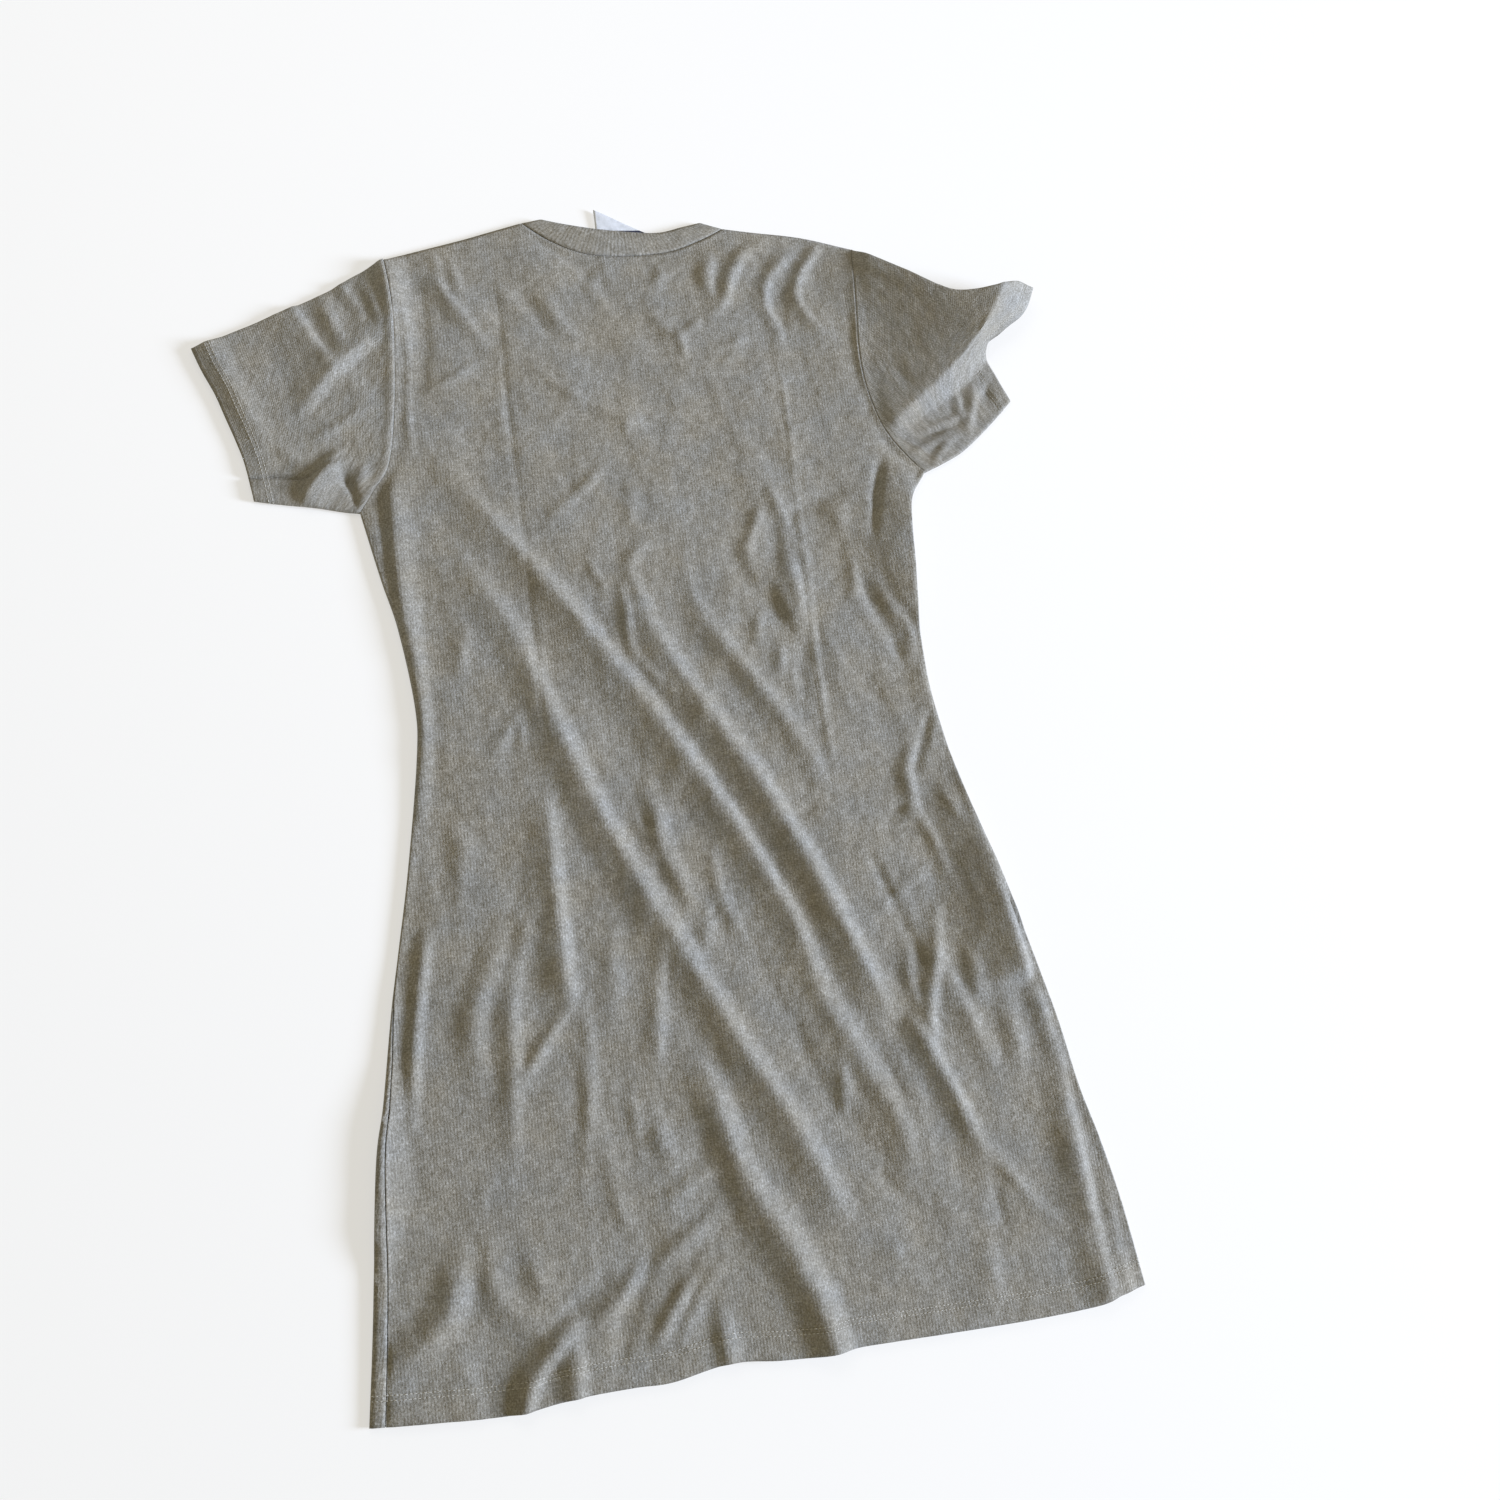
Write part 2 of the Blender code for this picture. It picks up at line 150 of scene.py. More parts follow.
class Crease:
    """A ridge or trough of cloth along a line, with a slope of its own on each side."""

    # Shares of the crest where its rise is read, and the power that makes a crest sharp.
    SAMPLES = np.linspace(0, 1, 120)
    SHARP = 1.5

    def __init__(self, left: float, right: float, crisp: float, *points: Sequence[float]) -> None:
        """Sets the crease out.

        Args:
            left: Width of the slope on the left of a crease that runs down, or below one that
                runs right.
            right: Width of the slope on the other side.
            crisp: 0 for a round crest to 1 for a sharp one.
            points: Crest, each point as x, y and the rise there, which is negative in a trough.
                A crease whose slopes change along it adds the widths on the left and right there.
        """
        self.left, self.right, self.crisp = left, right, crisp
        self.crest = Line(*points)

    def height(self, places: np.ndarray) -> np.ndarray:
        """What the crease adds to the height of the cloth.

        Args:
            places: Plan places, one a row.

        Returns:
            Heights in millimetres.
        """
        offset, share = self.crest.nearest(places, max(self.left, self.right))
        columns = self.crest(self.SAMPLES).T
        rise = np.interp(share, self.SAMPLES, columns[2])
        left, right = self.left, self.right
        if len(columns) > 3:
            left, right = (np.interp(share, self.SAMPLES, column) for column in columns[3:])
        out = np.minimum(np.abs(offset) / np.where(offset > 0, right, left), 1)
        soft = (1 - self.crisp) * (1 + np.cos(np.pi * out)) / 2
        return rise * (soft + self.crisp * (1 - out) ** self.SHARP)


def creases(*rows: Sequence) -> tuple[Crease, ...]:
    """Creases out of a table: width on the left, width on the right, crispness, then the crest."""
    return tuple(Crease(*row) for row in rows)


@dataclass(frozen=True)
class Crumple:
    """Small uneven relief that handling leaves in cloth, longer along the grain than across it.

    Attributes:
        height: Height of the relief.
        across: Spacing across the grain.
        along: Spacing along it.
        turn: Angle of the grain from upright, in degrees, towards the left at the top.
        ridged: 0 for soft pillows to 1 for a net of thin ridges.
        seed: Seed of the pattern.
    """

    height: float
    across: float
    along: float
    turn: float
    ridged: float
    seed: int

    # Cells of the table of random values, how coarse and how strong the pattern's bends are, how
    # steep, fine and uneven its ridges are, and how deep the cloth lies between them.
    TABLE = 61
    BEND_SCALE, BEND = 0.6, 0.9
    RIDGE_SLOPE, RIDGE_SCALE, RIDGE_UNEVEN, RIDGE_FLOOR = 3, 2.1, 0.5, -0.3

    def noise(self, places: np.ndarray, seed: int) -> np.ndarray:
        """Smooth uneven values.

        Args:
            places: Places in lattice cells, one a row.
            seed: Seed of the lattice.

        Returns:
            A value from -1 to 1 for each place.
        """
        table = np.random.default_rng(seed).uniform(-1, 1, (self.TABLE, self.TABLE))
        cell = np.floor(places).astype(int)
        part = places - cell
        part = part**3 * (part * (part * 6 - 15) + 10)
        (left, bottom), (right, top) = (cell % self.TABLE).T, ((cell + 1) % self.TABLE).T
        rows = [
            table[left, row] * (1 - part[:, 0]) + table[right, row] * part[:, 0]
            for row in (bottom, top)
        ]
        return rows[0] * (1 - part[:, 1]) + rows[1] * part[:, 1]

    def relief(self, places: np.ndarray) -> np.ndarray:
        """Height of the relief.

        Args:
            places: Plan places, one a row.

        Returns:
            Heights in millimetres, both ways from 0.
        """
        turn = math.radians(self.turn)
        across = places @ np.array([math.cos(turn), math.sin(turn)]) / self.across
        along = places @ np.array([-math.sin(turn), math.cos(turn)]) / self.along
        cells = np.stack([across, along], axis=-1)
        bends = [self.noise(cells * self.BEND_SCALE, self.seed + step) for step in (1, 2)]
        wave = self.noise(cells + np.stack(bends, axis=-1) * self.BEND, self.seed)
        ridge = 1 - self.RIDGE_SLOPE * np.abs(wave)
        ridge = ridge + self.RIDGE_UNEVEN * self.noise(cells * self.RIDGE_SCALE, self.seed + 3)
        ridge = self.ridged * np.maximum(ridge, self.RIDGE_FLOOR)
        return self.height * ((1 - self.ridged) * wave + ridge)


def patch(
    left: Callable,
    right: Callable,
    bottom: Callable,
    top: Callable,
    across: np.ndarray,
    up: np.ndarray,
) -> np.ndarray:
    """Places of the surface that spans four edge lines.

    Args:
        left: Left edge, followed upwards.
        right: Right edge, followed upwards.
        bottom: Bottom edge, followed from left to right.
        top: Top edge, followed from left to right.
        across: Shares across.
        up: Shares up, of the same shape.

    Returns:
        A plan place for each pair of shares.
    """
    a, u = np.asarray(across, float)[..., None], np.asarray(up, float)[..., None]
    corners = (1 - a) * (1 - u) * bottom(0.0) + a * (1 - u) * bottom(1.0)
    corners = corners + (1 - a) * u * top(0.0) + a * u * top(1.0)
    sides = (1 - a) * left(up) + a * right(up)
    return sides + (1 - u) * bottom(across) + u * top(across) - corners


def in_order(lines: Sequence[Line], breaks: Sequence[float]) -> Callable:
    """One line out of several, each followed between two of the breaks.

    Args:
        lines: The lines, in order.
        breaks: Share where each starts, and the share where the last ends.

    Returns:
        A function from shares to places.
    """

    def follow(share: np.ndarray | float) -> np.ndarray:
        """Places at shares of the whole line."""
        share = np.asarray(share, float)
        index = np.clip(np.searchsorted(breaks, share, side="right") - 1, 0, len(lines) - 1)
        found = np.zeros(share.shape + (2,))
        for number, line in enumerate(lines):
            part = (share - breaks[number]) / (breaks[number + 1] - breaks[number])
            here = line(np.clip(part, 0, 1))[..., :2]
            found = np.where((index == number)[..., None], here, found)
        return found

    return follow


def smoothed(heights: np.ndarray) -> np.ndarray:
    """Heights on a grid with their sharpest points rounded off, the rim left alone.

    Args:
        heights: Heights, rows by columns.

    Returns:
        The smoothed heights.
    """
    inner = heights[1:-1, 1:-1]
    beside = heights[:-2, 1:-1] + heights[2:, 1:-1] + heights[1:-1, :-2] + heights[1:-1, 2:]
    heights = heights.copy()
    heights[1:-1, 1:-1] = inner * 0.5 + beside * 0.125
    return heights


def hem_step(past: np.ndarray, doubled: float, dip: float) -> np.ndarray:
    """Relief of a turned hem: doubled cloth, with a dip where its stitches pull it in.

    Args:
        past: How far each place is past the top of the hem, negative in the hem itself.
        doubled: Rise of the doubled cloth.
        dip: Depth of the dip.

    Returns:
        One height for each place.
    """
    far, blend, dip_width = 50, 1.2, 2.0
    step = doubled / (1 + np.exp(np.minimum(past, far) / blend))
    return step - dip * np.exp(-(((past + 1) / dip_width) ** 2))


# ------------------------------------------------------------------ finishes


def linear(hex_colour: str) -> tuple[float, float, float, float]:
    """Linear colour of an sRGB hex value.

    Args:
        hex_colour: Six hex digits after a hash.

    Returns:
        Red, green, blue and an alpha of 1.
    """
    parts = [int(hex_colour[index : index + 2], 16) / 255 for index in (1, 3, 5)]
    red, green, blue = (
        part / 12.92 if part <= 0.04045 else ((part + 0.055) / 1.055) ** 2.4 for part in parts
    )
    return red, green, blue, 1.0


def add(tree: Tree, kind: str, settings: dict | None = None, **links: object) -> Node:
    """Adds a node.

    Args:
        tree: Tree that it goes in.
        kind: Its bl_idname.
        settings: Values of its properties.
        links: Value or output socket for each input, by name with _ for a space, or by number
            after an n.

    Returns:
        The node.
    """
    node = tree.nodes.new(kind)
    for name, value in (settings or {}).items():
        setattr(node, name, value)
    give(tree, node, **links)
    return node


def give(tree: Tree, node: Node, **links: object) -> None:
    """Sets or links a node's inputs.

    Args:
        tree: Tree that the node is in.
        node: The node.
        links: Value or output socket for each input, named as add names them.
    """
    for name, value in links.items():
        by_number = name[0] == "n" and name[1:].isdigit()
        key = int(name[1:]) if by_number else name.replace("_", " ")
        if isinstance(value, Socket):
            tree.links.new(value, node.inputs[key])
        else:
            node.inputs[key].default_value = value


def ramp_between(node: Node, *stops: tuple[float, str]) -> Socket:
    """Sets the stops of a colour ramp.

    Args:
        node: The ramp's node.
        stops: Place and hex colour of each stop.

    Returns:
        The colour that comes out.
    """
    elements = node.color_ramp.elements
    while len(elements) < len(stops):
        elements.new(1.0)
    for element, (place, colour) in zip(elements, stops):
        element.position, element.color = place, linear(colour)
    return node.outputs["Color"]


def bare_material(name: str) -> tuple[Material, Tree, Node]:
    """A new material with nothing but its shader.

    Args:
        name: Name of the material.

    Returns:
        The material, its node tree and its shader.
    """
    made = bpy.data.materials.new(name)
    made.use_nodes = True
    return made, made.node_tree, made.node_tree.nodes["Principled BSDF"]


ADDED, MULTIPLIED = {"operation": "ADD"}, {"operation": "MULTIPLY"}
SCALED_AND_ADDED = {"operation": "MULTIPLY_ADD"}


@dataclass(frozen=True)
class HeatherJersey:
    """Mid-weight single jersey knitted from melange cotton and viscose yarn: matt, soft, flecked.

    Attributes:
        name: Name of the material.
        dark: Colour of the dark fibres.
        middle: Colour of the yarn.
        light: Colour of the light fibres.
        fleck: Width of a fleck, in metres. Real ones are half as wide, too fine to show.
        streak: Length of a fleck along the wale.
        mottle: Size of the patches where light or dark fibres gather.
        mottled: How strongly they gather there.
        shade: Size of the larger patches that are lighter or darker.
        shaded: How much lighter or darker they are.
        cloud: Size of the patches where the dye lies warmer or cooler.
        warm: Tint of the warmer patches.
        cool: Tint of the cooler ones.
        wale: Spacing of the knit's columns. Real ones are 0.7 mm apart, too fine to show.
        course: Height of a stitch as a share of that spacing.
        ribbed: Whether the columns stand up as a rib.
        fuzz: Size of the loose fibres.
        fuzzy: How far they stand up next to the knit's columns.
        relief: Depth of the knit in the bump.
        pucker: Size of the softest crumples, which wear leaves in the surface.
        pucker_depth: Their depth.
        rough: Roughness.
        uneven: How much the roughness differs between patches.
        sheen: Strength of the fuzz's sheen.
        sheen_colour: Its colour.
    """

    name: str = "heather jersey"
    dark: str = "#6c685f"
    middle: str = "#8d8a83"
    light: str = "#b5b3ae"
    fleck: float = 0.0011
    streak: float = 0.0020
    mottle: float = 0.007
    mottled: float = 0.34
    shade: float = 0.045
    shaded: float = 0.16
    cloud: float = 0.040
    warm: str = "#fffcf5"
    cool: str = "#f8fbff"
    wale: float = 0.0011
    course: float = 0.8
    ribbed: bool = False
    fuzz: float = 0.0016
    fuzzy: float = 1.3
    relief: float = 0.00016
    pucker: float = 0.009
    pucker_depth: float = 0.0014
    rough: float = 0.92
    uneven: float = 0.12
    sheen: float = 0.12
    sheen_colour: str = "#dfe6ee"

    def dyed(self, tree: Tree, cloth: Socket, patches: Socket) -> Socket:
        """Colour of the yarn: flecks of light and dark fibre, in patches, under a drifting tint.

        Args:
            tree: The material's node tree.
            cloth: Places on the cloth, in metres.
            patches: How light each patch is.

        Returns:
            The colour.
        """
        noise, math_node = "ShaderNodeTexNoise", "ShaderNodeMath"
        stretch = (1 / self.fleck, 1 / self.streak, 1.0)
        grain = add(tree, "ShaderNodeMapping", Vector=cloth, Scale=stretch).outputs["Vector"]
        mixed = add(
            tree, noise, Vector=grain, Scale=1.0, Detail=3.0, Roughness=0.62
        ).outputs["Fac"]
        shades = add(
            tree, noise, Vector=cloth, Scale=1 / self.shade, Detail=2.0, Roughness=0.5
        ).outputs["Fac"]
        for layer, much in ((patches, self.mottled), (shades, self.shaded)):
            spread = add(tree, math_node, SCALED_AND_ADDED, n0=layer, n1=much, n2=-much / 2)
            mixed = add(tree, math_node, ADDED, n0=mixed, n1=spread.outputs[0]).outputs[0]
        yarn = ramp_between(
            add(tree, "ShaderNodeValToRGB", Fac=mixed),
            (0.22, self.dark), (0.50, self.middle), (0.78, self.light),
        )
        warmth = add(tree, noise, Vector=cloth, Scale=1 / self.cloud, Detail=5.0, Roughness=0.55)
        tint = ramp_between(
            add(tree, "ShaderNodeValToRGB", Fac=warmth.outputs["Fac"]),
            (0.34, self.warm), (0.66, self.cool),
        )
        tinted = {"data_type": "RGBA", "blend_type": "MULTIPLY"}
        return add(tree, "ShaderNodeMix", tinted, n0=1.0, n6=yarn, n7=tint).outputs[2]

    def knitted(self, tree: Tree, cloth: Socket) -> Socket:
        """Relief of the surface: soft crumples, and on them the knit's columns, courses and fuzz.

        Args:
            tree: The material's node tree.
            cloth: Places on the cloth, in metres.

        Returns:
            The normal.
        """
        upright = 1.0 if self.ribbed else 0.5
        columns, courses = (
            add(
                tree, "ShaderNodeTexWave", {"bands_direction": direction},
                Vector=cloth, Scale=1 / spacing / math.tau, Distortion=wavy, Detail=1.0,
                Detail_Scale=300.0,
            ).outputs["Fac"]
            for direction, spacing, wavy in (
                ("X", self.wale, 0.7), ("Y", self.wale * self.course, 1.2)
            )
        )
        fuzz = add(
            tree, "ShaderNodeTexNoise",
            Vector=cloth, Scale=1 / self.fuzz, Detail=3.0, Roughness=0.7,
        ).outputs["Fac"]
        knit = add(
            tree, "ShaderNodeMath", MULTIPLIED, n0=courses, n1=1.25 - upright
        ).outputs[0]
        for layer, much in ((columns, upright), (fuzz, self.fuzzy)):
            knit = add(
                tree, "ShaderNodeMath", SCALED_AND_ADDED, n0=layer, n1=much, n2=knit
            ).outputs[0]
        crumpled = add(
            tree, "ShaderNodeTexNoise",
            Vector=cloth, Scale=1 / self.pucker, Detail=3.0, Roughness=0.55,
        ).outputs["Fac"]
        soft = add(
            tree, "ShaderNodeBump", Strength=1.0, Distance=self.pucker_depth, Height=crumpled
        ).outputs["Normal"]
        return add(
            tree, "ShaderNodeBump", Strength=1.0, Distance=self.relief, Height=knit, Normal=soft
        ).outputs["Normal"]

    def material(self) -> Material:
        """The cloth's material, which follows the cloth's own UV map in metres.

        Returns:
            The material.
        """
        made, tree, shader = bare_material(self.name)
        cloth = add(tree, "ShaderNodeUVMap", {"uv_map": "cut"}).outputs["UV"]
        patches = add(
            tree, "ShaderNodeTexNoise",
            Vector=cloth, Scale=1 / self.mottle, Detail=2.0, Roughness=0.6,
        ).outputs["Fac"]
        worn = add(
            tree, "ShaderNodeMath", SCALED_AND_ADDED,
            n0=patches, n1=self.uneven, n2=self.rough - self.uneven / 2,
        ).outputs[0]
        give(
            tree, shader,
            Base_Color=self.dyed(tree, cloth, patches), Normal=self.knitted(tree, cloth),
            Roughness=worn, IOR=1.5, Specular_IOR_Level=0.25, Sheen_Weight=self.sheen,
            Sheen_Roughness=0.45, Sheen_Tint=linear(self.sheen_colour),
        )
        return made


@dataclass(frozen=True)
class WovenRibbon:
    """Polyester satin label ribbon, woven: bright and smooth, with a slight lustre across the weft.

    Attributes:
        name: Name of the material.
        colour: Colour of the clean ribbon.
        soiled: Colour where it has dulled.
        dark: Colour of the dark strip along its lower part, which shows as a thin line just past
            the neckband's edge.
        border: How far up the dress that dark strip reaches, in metres.
        thread: Spacing of the weft, in metres. Real ones are finer, too fine to show.
        relief: Depth of the weft in the bump.
    """

    name: str = "satin ribbon"
    colour: str = "#dfe4ee"
    soiled: str = "#c9ced6"
    dark: str = "#2b3048"
    border: float = 0.8735
    thread: float = 0.0006
    relief: float = 0.00012

    def material(self) -> Material:
        """The ribbon's material.

        Returns:
            The material.
        """
        made, tree, shader = bare_material(self.name)
        cloth = add(tree, "ShaderNodeUVMap", {"uv_map": "cut"}).outputs["UV"]
        weft = add(
            tree, "ShaderNodeTexWave", {"bands_direction": "Y"},
            Vector=cloth, Scale=1 / self.thread / math.tau, Distortion=0.3, Detail=1.0,
            Detail_Scale=400.0,
        ).outputs["Fac"]
        soil = add(
            tree, "ShaderNodeTexNoise", Vector=cloth, Scale=1 / 0.006, Detail=3.0, Roughness=0.6
        ).outputs["Fac"]
        ribbon = ramp_between(
            add(tree, "ShaderNodeValToRGB", Fac=soil), (0.30, self.soiled), (0.60, self.colour)
        )
        # The label is dark navy below the border height, which leaves a thin dark line along the
        # neckband's edge.
        up = add(tree, "ShaderNodeSeparateXYZ", Vector=cloth).outputs["Y"]
        inside = add(tree, "ShaderNodeMath", {"operation": "LESS_THAN"}, n0=up, n1=self.border)
        woven = add(
            tree, "ShaderNodeMix", {"data_type": "RGBA"},
            n0=inside.outputs[0], n6=ribbon, n7=linear(self.dark),
        ).outputs[2]
        bump = add(
            tree, "ShaderNodeBump", Strength=1.0, Distance=self.relief, Height=weft
        ).outputs["Normal"]
        gloss = add(tree, "ShaderNodeMath", SCALED_AND_ADDED, n0=weft, n1=0.15, n2=0.38)
        give(tree, shader, Base_Color=woven, Normal=bump, Roughness=gloss.outputs[0])
        return made


@dataclass(frozen=True)
class SewingThread:
    """Spun polyester sewing thread, dyed to match the cloth: a little smoother and lighter.

    Attributes:
        name: Name of the material.
        colour: Colour of the ply.
        shadow: Colour between the plies.
        twist: Spacing of the twist, in metres.
        relief: Depth of the twist in the bump.
        rough: Roughness.
    """

    name: str = "sewing thread"
    colour: str = "#d2cfc6"
    shadow: str = "#a9a69d"
    twist: float = 0.0005
    relief: float = 0.0001
    rough: float = 0.6

    def material(self) -> Material:
        """The thread's material.

        Returns:
            The material.
        """
        made, tree, shader = bare_material(self.name)
        place = add(tree, "ShaderNodeTexCoord").outputs["Object"]
        ply = add(
            tree, "ShaderNodeTexNoise",
            Vector=place, Scale=1 / self.twist, Detail=2.0, Roughness=0.6,
        ).outputs["Fac"]
        colour = ramp_between(
            add(tree, "ShaderNodeValToRGB", Fac=ply), (0.30, self.shadow), (0.65, self.colour)
        )
        bump = add(
            tree, "ShaderNodeBump", Strength=1.0, Distance=self.relief, Height=ply
        ).outputs["Normal"]
        give(tree, shader, Base_Color=colour, Normal=bump, Roughness=self.rough)
        return made


@dataclass(frozen=True)
class StudioPaper:
    """Matt white paper on a light table: even and pale, faintly toothed, with weak shadows on it.

    Attributes:
        name: Name of the material.
        colour: Colour of the paper.
        glow: Light that comes through it.
        reflects: Share of its colour that it reflects, so that shadows on it stay weak.
        tooth: Size of its tooth, in metres.
    """

    name: str = "studio paper"
    colour: str = "#fafafa"
    glow: float = 0.56
    reflects: float = 0.45
    tooth: float = 0.004

    def material(self) -> Material:
        """The paper's material.

        Returns:
            The material.
        """
        made, tree, shader = bare_material(self.name)
        place = add(tree, "ShaderNodeTexCoord").outputs["Object"]
        tooth = add(
            tree, "ShaderNodeTexNoise", Vector=place, Scale=1 / self.tooth, Detail=2.0
        ).outputs["Fac"]
        bump = add(tree, "ShaderNodeBump", Strength=0.1, Distance=0.0001, Height=tooth)
        paper = linear(self.colour)
        give(
            tree, shader,
            Base_Color=[part * self.reflects for part in paper[:3]] + [1.0],
            Normal=bump.outputs["Normal"], Emission_Color=paper, Emission_Strength=self.glow,
            Roughness=1.0, Specular_IOR_Level=0.0,
        )
        return made


# ------------------------------------------------------------------ cloth as a grid of places


def around_cells(values: np.ndarray) -> np.ndarray:
    """The values at the four corners of every cell of a grid, in turn round it."""
    corners = values[:-1, :-1], values[:-1, 1:], values[1:, 1:], values[1:, :-1]
    return np.stack(corners, axis=2)


@dataclass
class ClothGrid:
    """Cloth as rows of places with the same place on the flat cut for each.

    Attributes:
        places: Rows by columns by x, y and height, in plan millimetres.
        cut: Rows by columns by x and y on the cloth, in millimetres.
        closed: Whether the last column joins the first.
    """

    places: np.ndarray
    cut: np.ndarray
    closed: bool = False

    # Height of the middle of a stitch on the ground, and how far in the cloth's slope is read.
    LEAST_HEIGHT = 0.14
    SLOPE_STEP = 2.0

    def object(self, name: str, wall: float, material: Material) -> Object:
        """Makes the cloth's object.

        Args:
            name: Name of the object.
            wall: Thickness of the cloth, in millimetres.
            material: Its finish.

        Returns:
            The object, with its wall as a live modifier.
        """
        rows, columns = self.places.shape[:2]
        used = columns - 1 if self.closed else columns
        numbers = np.arange(rows * used).reshape(rows, used)
        if self.closed:
            numbers = np.hstack([numbers, numbers[:, :1]])
        points = self.places[:, :used].reshape(-1, 3).copy()
        points[:, :2] -= PLAN_CENTRE
        mesh = bpy.data.meshes.new(name)
        faces = around_cells(numbers).reshape(-1, 4)
        mesh.from_pydata((points * MM).tolist(), [], faces.tolist())
        corners = around_cells(self.cut * MM).astype(np.float32)
        mesh.uv_layers.new(name="cut").data.foreach_set("uv", corners.ravel())
        mesh.materials.append(material)
        mesh.shade_smooth()
        mesh.set_sharp_from_angle(angle=SMOOTH_ANGLE)
        made = bpy.data.objects.new(name, mesh)
        bpy.context.scene.collection.objects.link(made)
        thickness = made.modifiers.new("wall", "SOLIDIFY")
        thickness.thickness = wall * MM
        thickness.offset = 0
        return made

    def line(self, depth: Sequence[float], from_last: bool) -> np.ndarray:
        """Places along the cloth at a depth in from its first or last row.

        Args:
            depth: Depth at the first column and at the last, in millimetres along the cloth.
            from_last: Whether the depth is measured from the last row.

        Returns:
            One place for each column.
        """
        rows = self.places[::-1] if from_last else self.places
        steps = np.linalg.norm(np.diff(rows, axis=0), axis=-1)
        reach = np.concatenate([steps[:1] * 0, np.cumsum(steps, axis=0)])
        depths = np.linspace(depth[0], depth[-1], rows.shape[1])
        return np.array(
            [
                [np.interp(deep, far, axis) for axis in column.T]
                for deep, far, column in zip(depths, reach.T, rows.transpose(1, 0, 2))
            ]
        )

    def stitch_line(
        self, depth: Sequence[float], from_last: bool, outward: float, above: float
    ) -> np.ndarray:
        """Places for the middle of a row of stitches that lies on the cloth.

        Args:
            depth: Depth of the row at the first column and at the last.
            from_last: Whether the depth is measured from the last row.
            outward: 1 or -1, for the side of the cloth that faces out.
            above: Distance of the row from the cloth's middle surface.

        Returns:
            One place for each column, none under the ground.
        """
        row = self.line(depth, from_last)
        inner = self.line([part + self.SLOPE_STEP for part in depth], from_last)
        normal = np.cross(np.gradient(row, axis=0), inner - row)
        row = row + normal / np.linalg.norm(normal, axis=1)[:, None] * outward * above
        row[:, 2] = np.maximum(row[:, 2], self.LEAST_HEIGHT)
        return row

    def area(self) -> float:
        """Area of the cloth's middle surface, in square metres."""
        return area_of(self.places)


def area_of(grid: np.ndarray) -> float:
    """Area of a surface that is set out on a grid.

    Args:
        grid: Rows by columns by x, y and, unless it is flat, height, in millimetres.

    Returns:
        Square metres.
    """
    if grid.shape[-1] == 2:
        grid = np.pad(grid, ((0, 0), (0, 0), (0, 1)))
    rising, falling = grid[1:, 1:] - grid[:-1, :-1], grid[1:, :-1] - grid[:-1, 1:]
    return float(np.linalg.norm(np.cross(rising, falling), axis=-1).sum() / 2) * MM * MM


@dataclass(frozen=True)
class LaidCloth:
    """A piece of cloth once it is made.

    Attributes:
        object: Its object.
        grid: Its places.
        size: Size of its flat cut, in metres.
        area: Area of that cut, in square metres.
    """

    object: Object
    grid: ClothGrid
    size: tuple[float, float]
    area: float


# ------------------------------------------------------------------ pattern of the dress


class Side(Enum):
    """Side of the dress as it lies."""

    LEFT = "left"
    RIGHT = "right"


